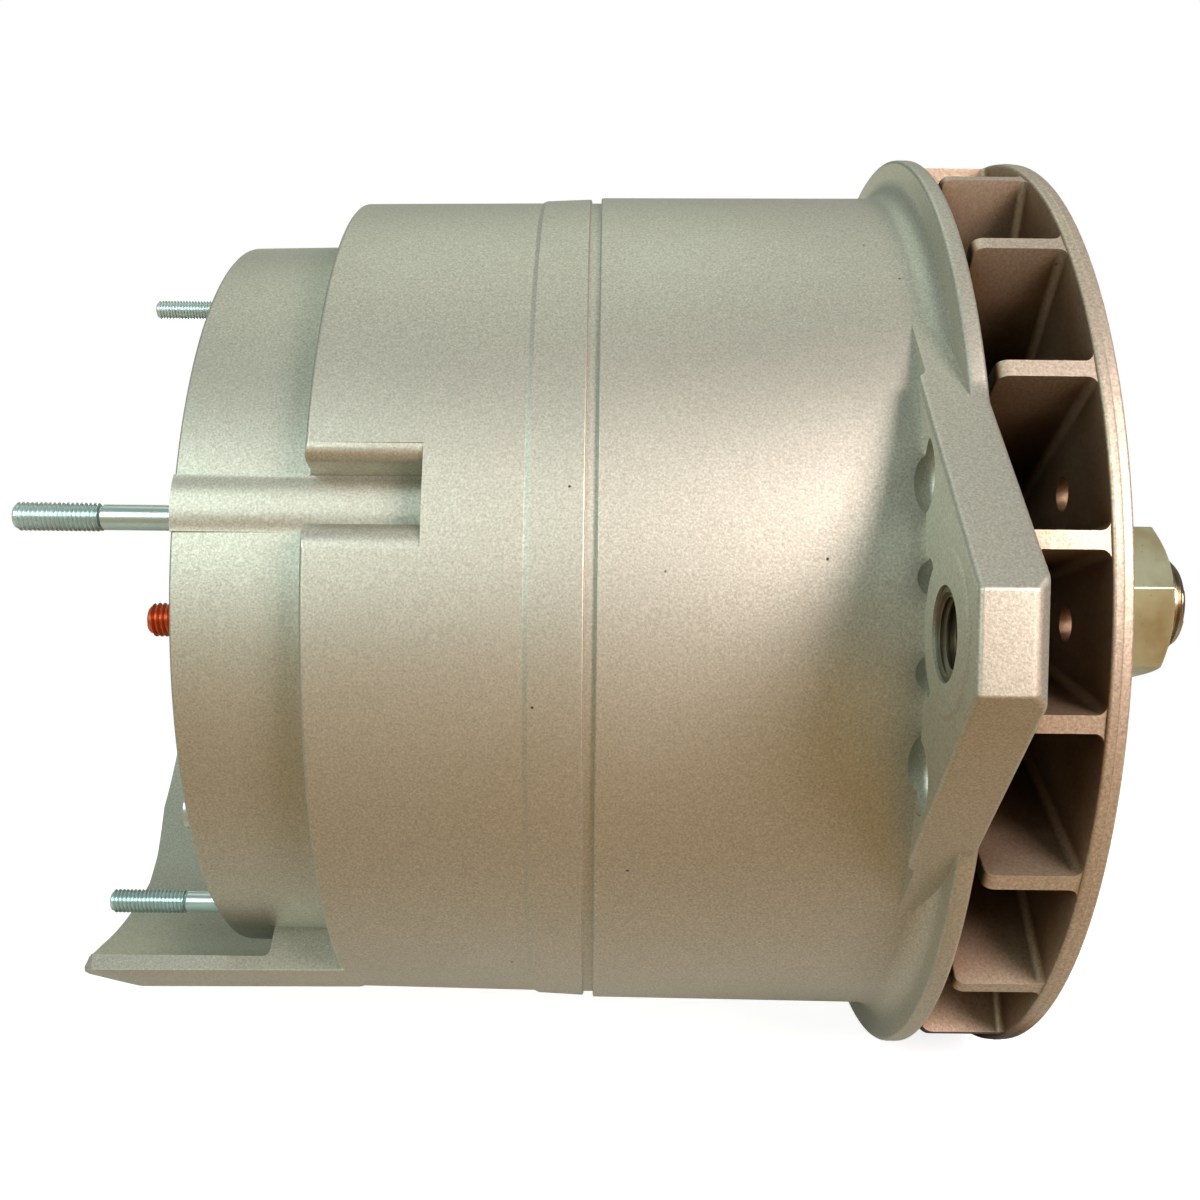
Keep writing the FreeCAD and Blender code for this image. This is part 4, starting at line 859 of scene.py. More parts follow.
class Paintbox:
    """Builds each material once and puts finished pieces into the frame."""

    def __init__(self) -> None:
        """Build every material of the object."""
        effects = Effects()
        self.materials = {finish.slot: finish.material(effects) for finish in FINISHES}
        record = frame["record"]["subparts"]
        self.slots = {part["node"]: part["material_slot"] for part in record}

    def paint(self, piece: Piece, slot: str) -> None:
        """Give a piece one material all over."""
        piece.data.materials.clear()
        piece.data.materials.append(self.materials[slot])
        for face in piece.data.polygons:
            face.material_index = 0

    def place(self, piece: Piece, node: str, smooth: float = 32.0) -> Piece:
        """Smooth and paint a piece, and let it stand for a CAD node.

        Args:
            piece: The finished mesh.
            node: The node that it replaces, whose body and slot it takes.
            smooth: Edges that turn by more than this stay sharp.

        Returns:
            The piece.
        """
        select_only(piece)
        bpy.ops.object.shade_smooth_by_angle(angle=math.radians(smooth))
        weighted = piece.modifiers.new("weighted", "WEIGHTED_NORMAL")
        weighted.keep_sharp = True
        applied(piece, weighted)
        slot = self.slots[node]
        self.paint(piece, slot)
        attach(piece, frame["nodes"][node]["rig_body"])
        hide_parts(node)
        LOG.info("%s: %d faces, %s", piece.name, len(piece.data.polygons), slot)
        return piece


@dataclass
class PivotFoot:
    """Ear on the far side that takes the pivot bolt's bush."""

    reach: float = 122.0
    boss_r: float = 17.0
    root_r: float = 94.0
    root_angle: float = 22.0
    bush_r: float = 10.0
    chamfer: float = 0.8
    edge: float = 1.2
    nose_steps: int = 28

    def model(self, name: str, x0: float, x1: float) -> Piece:
        """The ear between two planes, with its bush hole."""
        root_y, root_z = polar(self.root_r, self.root_angle)
        distance = math.hypot(self.reach - root_y, root_z)
        lean = math.atan2(root_z, root_y - self.reach) - math.acos(self.boss_r / distance)
        angles = [-lean + 2 * lean * i / self.nose_steps for i in range(self.nose_steps + 1)]
        nose = [(self.reach + self.boss_r * math.cos(a), self.boss_r * math.sin(a)) for a in angles]
        ear = plate(name, [(root_y, root_z), (root_y, -root_z)] + nose, x0, x1)
        soften(ear, self.edge, 50.0)
        core = rod(name + "_core", SHELL_INNER_R, x0 - 1, x1 + 1, sides=LATHE_STEPS)
        mouth_r = self.bush_r + self.chamfer + 1
        hole = lathe(name + "_hole", [
            (x0 - 1, 0), (x0 - 1, mouth_r), (x0 + self.chamfer, self.bush_r),
            (x1 - self.chamfer, self.bush_r), (x1 + 1, mouth_r), (x1 + 1, 0)], self.reach, 0, 64)
        combine(ear, Join.CUT, core)
        return combine(ear, Join.CUT, hole)


@dataclass
class Lug:
    """Tensioning lug: a plate that tapers from the barrel to a flat end, with cored pockets."""

    reach: float = 139.0
    end_width: float = 17.3
    root_r: float = 97.0
    chamfer: float = 2.5
    corner_r: float = 1.0
    edge: float = 1.1
    groove_r: float = 105.3
    groove_depth: float = 1.8
    groove_roll: Pair = (1.2, 0.5)
    groove_corner_r: float = 0.8
    insert_r: float = 8.4
    pockets: tuple[tuple[float, float, float, float, float], ...] = (
        (5.1, 105.0, 4.4, 7.5, 4.9), (15.2, 106.0, 4.8, 9.0, 8.8))
    pocket_x: float = -35.2
    pad_r: float = 14.0
    pad_height: float = 0.5
    pad_slope: float = 0.9

    def wedge(self, name: str, x0: float, x1: float) -> Piece:
        """The lug's outline seen along the shaft, as a plate."""
        half = self.end_width / 2
        distance = math.hypot(self.reach, half)
        lean = math.degrees(math.atan2(half, self.reach) + math.acos(self.root_r / distance))
        corners = [polar(self.root_r, 180 - lean), (-self.reach, half, self.corner_r),
                   (-self.reach, -half, self.corner_r), polar(self.root_r, 180 + lean)]
        return plate(name, corners, x0, x1)

    def model(self) -> Piece:
        """The lug with rounded edges, the pad round its hole and the groove at its root."""
        back, front, side = LUG_FACE_BACK, FLANGE_FRONT, BARREL_R + 20
        plan = [(back, -50), (back, -self.reach), (front - self.chamfer, -self.reach),
                (front, -self.reach + self.chamfer), (front, -50)]
        lug = prism("lug", [(x, y, -side) for x, y in plan], (0, 0, 2 * side))
        combine(lug, Join.KEEP, self.wedge("lug_outline", back - 1, front + 1))
        soften(lug, self.edge, 25.0)
        combine(lug, Join.CUT, rod("lug_core", SHELL_INNER_R, back - 1, front + 1, sides=LATHE_STEPS))
        floor = back + self.groove_depth
        flare, roll = self.groove_roll
        combine(lug, Join.CUT, lathe("lug_groove", [
            (back - 2, BARREL_R - 4), (back - 2, self.groove_r + flare), (back, self.groove_r + roll),
            (back + roll, self.groove_r), (floor, self.groove_r, self.groove_corner_r),
            (floor, BARREL_R - 4)]))
        foot_r = self.pad_r + self.pad_slope
        pad = lathe("lug_pad", [
            (back + 1, 0), (back + 1, foot_r), (back, foot_r), (back - self.pad_height, self.pad_r, 0.6),
            (back - self.pad_height, 0)], -LUG_HOLE_AT, 0, 72)
        return combine(lug, Join.ADD, pad)

    def hollows(self) -> list[Piece]:
        """Cutters for the pockets and the insert's hole."""
        cutters = []
        for angle, radius, *half_widths in self.pockets:
            cutters += around(egg("pocket", half_widths, self.pocket_x, -radius), [angle, -angle])
        cutters.append(rod("insert_hole", self.insert_r, LUG_FACE_BACK - 5, FLANGE_FRONT + 5,
                           -LUG_HOLE_AT, 0, 64))
        return cutters


@dataclass
class DriveEndHousing:
    """Cast housing at the drive end, with its flange, windowed wall, lug and foot."""

    barrel_end: float = -97.8
    barrel_r: Pair = (99.25, 99.85)
    flange_r: float = 108.5
    flange_root_r: float = 5.0
    wall_face: float = -32.0
    wall_thickness: float = 6.0
    hub_face: float = -30.0
    hub_r: float = 47.0
    seal_r: float = 26.0
    bearing_r: float = 36.0
    bearing_face: float = FRONT_BEARING[1]
    bearing_back: float = FRONT_BEARING[0]
    windows: int = 10
    window_span: float = 24.0
    window_r: Pair = (54.0, 83.0)
    screw_r: float = 2.75
    head_r: float = 4.5
    screw_seat: float = -34.0
    boss_r: float = 5.1
    retainer_hole_r: float = 2.5
    retainer_circle_r: float = 41.5
    foot_x: Pair = (-66.0, -40.0)

    def shell(self) -> Piece:
        """Barrel, flange, front wall and hub in one turned piece."""
        space = BARREL_R - BARREL_WALL
        back = self.wall_face - self.wall_thickness
        stop = STATOR_ENDS[1]
        return lathe("drive_end_casting", [
            (self.barrel_end, LIP_R + 0.05), (self.barrel_end, self.barrel_r[0], 0.4),
            (FLANGE_BACK, self.barrel_r[1], self.flange_root_r), (FLANGE_BACK, self.flange_r, 0.9),
            (FLANGE_FRONT, self.flange_r, 0.9), (FLANGE_FRONT, space, 0.5),
            (self.wall_face, space, 1.5), (self.wall_face, self.hub_r, 0.9),
            (self.hub_face, self.hub_r, 0.9), (self.hub_face, self.seal_r, -0.5),
            (self.bearing_face, self.seal_r), (self.bearing_face, self.bearing_r),
            (self.bearing_back, self.bearing_r, -0.5), (self.bearing_back, self.hub_r, 1.0),
            (back, self.hub_r, 3.0), (back, space, 3.0), (stop + STOP_WIDTH, space, 0.5),
            (stop + STOP_WIDTH, STOP_R), (stop, STOP_R), (stop, STATOR_R), (LIP_END, STATOR_R),
            (LIP_END, LIP_R + 0.05)])

    def screw_cutters(self) -> list[Piece]:
        """Stepped holes for the long screws and plain ones for the retainer's."""
        cutters = []
        for angle in SCREW_ANGLES:
            place = polar(SCREW_CIRCLE_R, angle)
            cutters.append(lathe("screw_hole", [
                (self.barrel_end - 1, 0), (self.barrel_end - 1, self.screw_r),
                (self.screw_seat, self.screw_r), (self.screw_seat, self.head_r),
                (FLANGE_FRONT + 1, self.head_r), (FLANGE_FRONT + 1, 0)], *place, steps=40))
        for angle in evenly(4, 45.0):
            place = polar(self.retainer_circle_r, angle)
            cutters.append(rod("retainer_hole", self.retainer_hole_r, self.bearing_back - 1,
                               self.hub_face + 1, *place))
        return cutters

    def model(self) -> Piece:
        """The whole casting."""
        casting = self.shell()
        bosses = [rod("screw_boss", self.boss_r, STATOR_ENDS[1] + 1, self.wall_face - 1,
                      *polar(SCREW_CIRCLE_R, angle)) for angle in SCREW_ANGLES]
        combine(casting, Join.ADD, *bosses)
        lug = Lug()
        combine(casting, Join.ADD, lug.model())
        combine(casting, Join.ADD, PivotFoot().model("front_foot", *self.foot_x))
        half = self.window_span / 2
        back = self.wall_face - self.wall_thickness
        window = plate("window", sector(*self.window_r, -half, half), back - 1, self.wall_face + 1)
        step = 360 / self.windows
        combine(casting, Join.CUT, *around(window, evenly(self.windows, step / 2)))
        combine(casting, Join.CUT, *lug.hollows())
        return combine(casting, Join.CUT, *self.screw_cutters())


@dataclass
class SlipRingEndHousing:
    """Cast housing at the electrical end: bead, step, notch with its strip, guard and foot."""

    groove: float = -100.05
    bead_r: Pair = (98.9, 98.4)
    bead_end: float = -110.6
    barrel_r: Pair = (97.9, 97.3)
    step_x: float = -153.7
    tail_r: Pair = (87.3, 86.6)
    wall_faces: Pair = (-152.0, -146.0)
    bay_r: float = 80.0
    winding_r: float = 91.5
    bearing_r: float = 26.0
    bearing_face: float = -150.0
    bearing_front: float = REAR_BEARING_FRONT
    hub_wall: float = 5.0
    lip_r: float = 20.0
    windows: int = 6
    window_span: float = 30.0
    window_r: Pair = (40.0, 68.0)
    notch_end: float = -131.0
    notch_angles: Pair = (161.8, 168.9)
    notch_edges: Pair = (3.0, 5.2)
    notch_wall: float = 4.0
    notch_roll_steps: int = 10
    strip_width: float = 11.6
    strip_height: float = 0.95
    strip_sink: float = 0.08
    strip_steps: int = 24
    strip_angle: float = 165.6
    guard_cut: tuple[Pair, Pair] = ((-130.0, -144.3), (-30.0, -60.4))
    guard_far: float = 367.25
    guard_start: float = 160.0
    guard_r: Pair = (97.6, 98.3)
    guard_wall: float = 3.2
    guard_web_end: float = -170.4
    guard_end: tuple[Pair, ...] = (
        (-209.0, -55.0), (-212.7, -44.0), (-219.0, -31.0), (-224.5, -18.0), (-228.0, -6.0),
        (-228.5, 4.0), (-228.0, 14.0), (-227.6, 25.0), (-227.0, 38.0), (-228.2, 49.0), (-231.0, 64.0))
    guard_bevel: tuple[tuple[float, float, float], ...] = (
        (-209.0, -54.8, -81.2), (-206.4, -22.0, -96.9), (-225.0, -18.0, -93.8))
    foot_x: Pair = (-140.0, -114.0)
    cover_screws: tuple[float, ...] = (35.0, 125.0, 215.0, 305.0)
    cover_circle_r: float = 76.0
    cover_play: float = 0.2
    screw_hole_r: float = 2.5
    long_hole_end: float = -119.0
    cover_boss_r: float = 5.0
    cover_boss_length: float = 10.0
    middle_boss_r: float = 8.0
    middle_boss_length: float = 6.0

    def shell(self) -> Piece:
        """Barrel, rear wall and bearing hub in one turned piece."""
        wall_back, wall_front = self.wall_faces
        hub_r = self.bearing_r + self.hub_wall
        stop = STATOR_ENDS[0]
        rim = COVER_R + self.cover_play
        return lathe("slip_ring_end_casting", [
            (LIP_END, STATOR_R), (LIP_END, LIP_R), (self.groove, LIP_R),
            (self.groove, self.bead_r[0], 0.4), (self.bead_end, self.bead_r[1], 0.3),
            (self.bead_end - 1, self.barrel_r[0], 0.8), (self.step_x, self.barrel_r[1], 0.9),
            (self.step_x, self.tail_r[0], 1.4), (REAR_EDGE, self.tail_r[1], 0.7),
            (REAR_EDGE, rim, 0.4), (COVER_BACK, rim), (COVER_BACK, self.bay_r, 0.4),
            (wall_back, self.bay_r, 2.0), (wall_back, self.lip_r), (self.bearing_face, self.lip_r),
            (self.bearing_face, self.bearing_r), (self.bearing_front + 1, self.bearing_r, -0.5),
            (self.bearing_front + 1, hub_r, 1.0), (wall_front, hub_r, 3.0),
            (wall_front, self.winding_r, 3.0), (stop - STOP_WIDTH, self.winding_r),
            (stop - STOP_WIDTH, STOP_R), (stop, STOP_R), (stop, STATOR_R)])

    def guard(self) -> Piece:
        """Part-round guard with its swept end, the bevel below it and the web that carries it."""
        inner = self.barrel_r[1] - self.guard_wall
        front = self.step_x + 3
        (near_x, _), (far_x, _) = self.guard_end[0], self.guard_end[-1]
        far = far_x - 5
        reach, slab, depth = 120, 90, 25
        ring = lathe("guard", [
            (far, inner), (far, self.guard_r[1]), (self.step_x, self.guard_r[0]),
            (front, self.barrel_r[1] - 0.5), (front, self.tail_r[1] - 2),
            (self.guard_web_end, self.tail_r[1] - 2), (self.guard_web_end, inner, 1.5)])
        span = [*self.guard_cut, (0.0, 0.0), *arc(self.guard_start, self.guard_far, 240.0)]
        combine(ring, Join.KEEP, plate("guard_span", span, far - 5, front + 5))
        sweep = [(far - 5, -reach), (near_x, -reach), *self.guard_end, (far_x, reach), (far - 5, reach)]
        combine(ring, Join.CUT, prism("guard_sweep", [(x, y, -reach) for x, y in sweep],
                                      (0, 0, 2 * reach)))
        near, low, under = (Vector(point) for point in self.guard_bevel)
        outwards = (under - near).cross(low - near).normalized()
        side = (low - near).normalized() * slab
        across = outwards.cross(side)
        corners = [low + side + across, low + side - across, low - side - across, low - side + across]
        combine(ring, Join.CUT, prism("guard_bevel", corners, outwards * depth))
        return soften(ring, 0.8, 40.0)

    def notch(self) -> Piece:
        """Cutter for the notch, with its long edges rolled over the barrel's surface."""
        outer = self.barrel_r[1]
        points = arc(self.tail_r[0], *self.notch_angles)
        for angle, radius, way in ((self.notch_angles[1], self.notch_edges[1], 1),
                                   (self.notch_angles[0], self.notch_edges[0], -1)):
            centre_r = outer - radius
            middle = angle + way * math.degrees(math.asin(radius / centre_r))
            centre = Vector(polar(centre_r, middle))
            sweep = 90 + abs(middle - angle)
            steps = self.notch_roll_steps
            roll = [centre + Vector(polar(radius, middle - way * sweep * (1 - i / steps)))
                    for i in range(steps + 1)]
            roll = [tuple(point) for point in roll] + [polar(outer + 8, middle)]
            points += roll if way > 0 else roll[::-1]
        return prism("notch", [(self.step_x - 2, y, z) for y, z in points],
                     (self.notch_end - self.step_x + 2, 0, 0))

    def strip(self) -> Piece:
        """Low strip with soft sides along the notch's floor and the small barrel."""
        floor, steps = self.tail_r[0], self.strip_steps
        half = math.degrees(self.strip_width / 2 / floor)
        crown = []
        for i in range(steps + 1):
            across = 2 * i / steps - 1
            swell = self.strip_height * (1 - abs(across) ** 3) ** 2
            crown.append(polar(floor - self.strip_sink + swell, self.strip_angle + across * half))
        under = arc(floor - self.notch_wall, self.strip_angle + half, self.strip_angle - half)
        return plate("strip", crown + under, REAR_EDGE, self.notch_end + 0.5)

    def inner_bosses(self) -> list[Piece]:
        """Bosses for the upper and lower studs, the cover's screws and the middle stud."""
        bosses = []
        for terminal in (Terminals.lower, Terminals.upper):
            boss = rod("stud_boss", terminal.radius + 4, COVER_BACK, STUD_ROOT, terminal.y, terminal.z)
            bosses.append(combine(boss, Join.KEEP, rod("boss_limit", self.tail_r[1] - 1, COVER_BACK - 1,
                                                       STUD_ROOT + 1, sides=LATHE_STEPS)))
        for angle in self.cover_screws:
            bosses.append(rod("cover_boss", self.cover_boss_r, COVER_BACK,
                              COVER_BACK + self.cover_boss_length, *polar(self.cover_circle_r, angle)))
        middle, wall_back = Terminals.middle, self.wall_faces[0]
        bosses.append(rod("middle_boss", self.middle_boss_r, wall_back - self.middle_boss_length,
                          wall_back + 1, middle.y, middle.z))
        return bosses

    def hole_cutters(self) -> list[Piece]:
        """Cutters for the screws' and studs' holes."""
        cutters = [rod("long_screw_hole", self.screw_hole_r, self.long_hole_end, LIP_END + 1,
                       *polar(SCREW_CIRCLE_R, angle)) for angle in SCREW_ANGLES]
        for angle in self.cover_screws:
            cutters.append(rod("cover_screw_hole", self.screw_hole_r, COVER_BACK - 1,
                               COVER_BACK + self.cover_boss_length - 2, *polar(self.cover_circle_r, angle)))
        for terminal in (Terminals.lower, Terminals.upper):
            cutters.append(rod("stud_hole", terminal.radius, REAR_EDGE - 1, STUD_ROOT,
                               terminal.y, terminal.z))
        middle, (wall_back, wall_front) = Terminals.middle, self.wall_faces
        cutters.append(rod("middle_hole", middle.radius, wall_back - self.middle_boss_length - 1,
                           wall_front + 1, middle.y, middle.z))
        return cutters

    def model(self) -> Piece:
        """The whole casting."""
        wall_back, wall_front = self.wall_faces
        casting = self.shell()
        start, end = self.notch_angles
        backing = plate("notch_backing", sector(self.tail_r[0] - self.notch_wall, self.winding_r + 2,
                                                start - 3, end + 3),
                        wall_front - 1, self.notch_end + self.notch_wall)
        combine(casting, Join.ADD, backing)
        combine(casting, Join.ADD, self.guard())
        combine(casting, Join.ADD, PivotFoot().model("rear_foot", *self.foot_x))
        for boss in self.inner_bosses():
            combine(casting, Join.ADD, boss)
        combine(casting, Join.CUT, self.notch())
        combine(casting, Join.ADD, self.strip())
        half = self.window_span / 2
        window = plate("rear_window", sector(*self.window_r, -half, half), wall_back - 1, wall_front + 1)
        combine(casting, Join.CUT, *around(window, evenly(self.windows)))
        return combine(casting, Join.CUT, *self.hole_cutters())


@dataclass
class FanWheel:
    """Cast fan with straight radial blades that stand on the rear of its disc."""

    hub_r: float = 32.0
    hub_back: float = FAN_HUB_BACK
    hub_fillet: float = 6.0
    seat_r: float = 13.0
    outer_r: float = 108.0
    disc_front: float = -1.0
    disc_thickness: float = 4.0
    blades: int = 20
    blade_thickness: float = 3.5
    blade_r: Pair = (57.0, 107.2)
    blade_end: float = -23.5
    corner_r: float = 2.5
    root_r: float = 1.8
    first: float = 171.25
    parting: float = 0.12
    parting_half: float = 0.3
    blade_edge: float = 0.6
    hole_r: float = 3.5
    hole_circle_r: float = 83.0
    key_width: float = 5.0
    key_top: float = 15.2

    def disc(self) -> Piece:
        """Hub and disc in one turned piece, with the parting line round the rim."""
        back = self.disc_front - self.disc_thickness
        middle = self.disc_front - self.disc_thickness / 2
        rim = self.outer_r - self.parting
        return lathe("fan_wheel", [
            (self.hub_back, self.seat_r, -0.5), (self.hub_back, self.hub_r, 1.5),
            (back, self.hub_r, self.hub_fillet), (back, rim, 0.7), (middle - self.parting_half, rim),
            (middle, self.outer_r), (middle + self.parting_half, rim), (self.disc_front, rim, 0.7),
            (self.disc_front, self.hub_r, 0.4), (0, self.hub_r, 0.4), (0, self.seat_r, -0.5)])

    def blade(self) -> Piece:
        """One blade with a flared root, a soft free edge and rounded corners."""
        back = self.disc_front - self.disc_thickness
        half, root = self.blade_thickness / 2, self.root_r
        inner, outer = self.blade_r
        edge, into_disc = self.blade_edge, back + 0.6
        section = rounded([
            (into_disc, -half - root), (back, -half - root), (back, -half, root),
            (self.blade_end, -half, edge), (self.blade_end, half, edge), (back, half, root),
            (back, half + root), (into_disc, half + root)])
        blade = prism("blade", [(x, inner - 1, z) for x, z in section], (0, outer - inner + 2, 0))
        form = rounded([
            (back + 1, inner), (self.blade_end, inner, self.corner_r),
            (self.blade_end, outer, self.corner_r), (back + 1, outer)])
        side = 8
        outline_solid = prism("blade_form", [(x, y, -side) for x, y in form], (0, 0, 2 * side))
        return combine(blade, Join.KEEP, outline_solid)

    def model(self) -> Piece:
        """The whole fan."""
        fan = self.disc()
        combine(fan, Join.ADD, *around(self.blade(), evenly(self.blades, self.first)))
        half = self.key_width / 2
        combine(fan, Join.CUT, plate("hub_keyway", [(0, -half), (self.key_top, -half),
                                                    (self.key_top, half), (0, half)],
                                     self.hub_back - 1, 1))
        holes = [rod("balance_hole", self.hole_r, self.disc_front - self.disc_thickness - 1, 0,
                     *polar(self.hole_circle_r, self.first + side * 180 / self.blades))
                 for side in (-1, 1)]
        return combine(fan, Join.CUT, *holes)


@dataclass
class ShaftEnd:
    """Shaft with its thread and keyways, the nut and the split spring washer."""

    seat_r: float = 12.5
    seat_length: float = 19.0
    fan_seat_r: float = 13.0
    shaft_end: float = 50.0
    chamfer: float = 1.6
    core_seat_r: float = 16.0
    core_run: float = 8.0
    tail_r: float = 9.0
    tail_end: float = -176.0
    front_seat: Pair = FRONT_BEARING
    front_bore_r: float = 15.0
    front_collar_r: float = 19.0
    rear_seat: Pair = (-151.0, REAR_BEARING_FRONT)
    rear_bore_r: float = 10.0
    rear_collar_r: float = 13.0
    neck_r: float = 10.4
    neck_width: float = 1.5
    centre_hole: Pair = (8.0, 2.0)
    centre_cone: Pair = (4.0, 4.3)
    key_width: float = 5.0
    key_depth: float = 2.8
    key_gap: float = 2.5
    hub_back: float = FAN_HUB_BACK
    nut_face: float = 44.5
    nut_thickness: float = 20.0
    nut_flats: float = 36.0
    nut_turn: float = 106.45
    nut_chamfer: float = 1.8
    nut_face_share: float = 0.97
    nut_play: float = 0.06
    washer_thickness: float = 4.0
    washer_r: float = 20.0
    washer_play: float = 0.12
    washer_split: float = 250.0
    slit_lean: float = 1.6
    slit_half: float = 0.7

    def keyway(self, x0: float, x1: float, seat_r: float) -> Piece:
        """Cutter for a milled slot with round ends."""
        half = self.key_width / 2
        end_r = half * 0.99
        corners = [(x0, -half, end_r), (x1, -half, end_r), (x1, half, end_r), (x0, half, end_r)]
        floor = seat_r - self.key_depth
        return prism("keyway", [(x, floor, z) for x, z in rounded(corners)], (0, self.key_depth + 1, 0))

    def shaft(self) -> Piece:
        """Stepped shaft from its tail to the threaded end."""
        back, front = STATOR_ENDS[0] - self.core_run, STATOR_ENDS[1]
        front_back, front_face = self.front_seat
        rear_back, rear_face = self.rear_seat
        neck_end = self.seat_length + self.neck_width
        body = lathe("turned_shaft", [
            (self.tail_end, 0), (self.tail_end, self.tail_r, -0.8), (rear_back, self.tail_r),
            (rear_back, self.rear_bore_r, -0.4), (rear_face, self.rear_bore_r),
            (rear_face, self.rear_collar_r, -0.6), (back, self.rear_collar_r),
            (back, self.core_seat_r, -0.6), (front, self.core_seat_r),
            (front, self.front_collar_r, -0.6), (front_back, self.front_collar_r, -0.6),
            (front_back, self.front_bore_r), (front_face, self.front_bore_r, -0.4),
            (front_face, self.fan_seat_r), (0, self.fan_seat_r, -0.4), (0, self.seat_r),
            (self.seat_length, self.seat_r, -0.5), (self.seat_length, self.neck_r),
            (neck_end, self.neck_r), (neck_end, 0)], steps=96)
        thread = threaded_rod("shaft_thread", SHAFT_THREAD_R, SHAFT_PITCH, self.shaft_end,
                              self.seat_length + 0.5, self.chamfer, steps=96)
        combine(body, Join.ADD, thread)
        slots = (self.keyway(self.hub_back + self.key_gap, -self.key_gap, self.fan_seat_r),
                 self.keyway(self.key_gap, self.seat_length - self.key_gap, self.seat_r))
        combine(body, Join.CUT, *slots)
        end, (depth, hole_r), (cone_depth, mouth_r) = self.shaft_end, self.centre_hole, self.centre_cone
        centre = lathe("centre_hole", [
            (end - depth - 1, 0), (end - depth, hole_r), (end - cone_depth, hole_r),
            (end + 0.01, mouth_r), (end + 1, mouth_r + 0.6), (end + 1, 0)], steps=48)
        return combine(body, Join.CUT, centre)

    def nut(self) -> Piece:
        """Hexagon nut with both faces chamfered and its bore countersunk."""
        corner_r = self.nut_flats / math.sqrt(3)
        back = self.nut_face - self.nut_thickness
        face_r = self.nut_flats / 2 * self.nut_face_share
        corners = [(*polar(corner_r, self.nut_turn + 60 * i), 0.8) for i in range(6)]
        nut = plate("hex_nut", corners, back, self.nut_face)
        combine(nut, Join.KEEP, lathe("nut_form", [
            (back, 0), (back, face_r, 0.5), (back + self.nut_chamfer, corner_r + 0.3),
            (self.nut_face - self.nut_chamfer, corner_r + 0.3), (self.nut_face, face_r, 0.5),
            (self.nut_face, 0)]))
        bore = SHAFT_THREAD_R + self.nut_play
        return combine(nut, Join.CUT, lathe("nut_bore", [
            (back - 1, 0), (back - 1, bore + 2), (back + 1, bore), (self.nut_face - 1, bore),
            (self.nut_face + 1, bore + 2), (self.nut_face + 1, 0)], steps=96))

    def washer(self) -> Piece:
        """Split spring washer with its ends cut on the slant."""
        front = self.nut_face - self.nut_thickness
        back = front - self.washer_thickness
        bore = SHAFT_THREAD_R + self.washer_play
        washer = lathe("split_washer", [
            (back, bore, 0.3), (back, self.washer_r, 0.6), (front, self.washer_r, 0.6),
            (front, bore, 0.3)])
        lean, gap, across = self.slit_lean, self.slit_half, 14
        slit = [(back - 1, -lean - gap), (back - 1, -lean + gap), (front + 1, lean + gap),
                (front + 1, lean - gap)]
        cutter = prism("washer_slit", [(x, bore - 2, z) for x, z in slit], (0, across, 0))
        cutter.data.transform(Matrix.Rotation(math.radians(self.washer_split), 4, "X"))
        return combine(washer, Join.CUT, cutter)


@dataclass(frozen=True)
class Terminal:
    """One stud along X: threaded tip, plain shank and the end in its hole."""

    name: str
    radius: float
    pitch: float
    y: float
    z: float
    tip: float
    thread: float
    mouth: float
    root: float
    nose: float = 1.0
    shank_share: float = 0.9
    shank_slope: float = 0.5

    def model(self) -> Piece:
        """The stud with a real thread."""
        shank_r = self.radius * self.shank_share
        run_out = self.tip + self.thread
        inside = run_out - self.pitch * 0.9
        stud = threaded_rod(self.name, self.radius, self.pitch, self.tip, run_out, self.nose,
                            self.y, self.z)
        body = lathe(self.name + "_shank", [
            (inside, 0), (inside, shank_r - self.shank_slope), (run_out - 0.2, shank_r),
            (self.mouth, shank_r), (self.mouth, self.radius, -0.2),
            (self.root, self.radius), (self.root, 0)], self.y, self.z, 48)
        return merged([stud, body])


@dataclass
class Terminals:
    """The four studs of the rear face and their insulating bushes."""

    middle = Terminal("terminal_m8", 4.0, 1.25, 26.0, 19.6, -259.5, 25.0, -158.0, -146.0)
    output = Terminal("terminal_copper", 5.0, 1.5, 49.6, -10.3, -230.0, 45.0, -164.0, -160.0, 1.4)
    lower = Terminal("terminal_m6", 3.0, 1.0, -2.35, -80.3, -223.0, 20.0, COVER_BACK, STUD_ROOT, 0.8)
    upper = Terminal("terminal_m5", 2.5, 0.8, 20.7, 75.9, -218.0, 28.0, COVER_BACK, STUD_ROOT, 0.7)
    bush_wall: float = 2.4
    bush_flange: float = 1.8
    bush_stand: float = 2.2
    head: Pair = (8.0, 4.0)

    def output_with_head(self) -> Piece:
        """The copper stud with the hexagon head under the heat sink."""
        stud = self.output.model()
        across, height = self.head
        corners = [(self.output.y + y, self.output.z + z, 0.4) for y, z in
                   (polar(across, 60 * i) for i in range(6))]
        head = plate("stud_head", corners, self.output.root, self.output.root + height)
        return combine(stud, Join.ADD, head)

    def bushes(self) -> Piece:
        """Both insulating bushes as one piece."""
        pieces = []
        for stud in (self.middle, self.output):
            outer = stud.radius + self.bush_wall
            rim = outer + self.bush_flange
            back = REAR_EDGE - self.bush_stand
            pieces.append(lathe("insulating_bushes", [
                (back, stud.radius, 0.3), (back, rim, 0.6), (REAR_EDGE, rim), (REAR_EDGE, outer),
                (COVER_BACK, outer), (COVER_BACK, stud.radius)], stud.y, stud.z, 64))
        return merged(pieces)


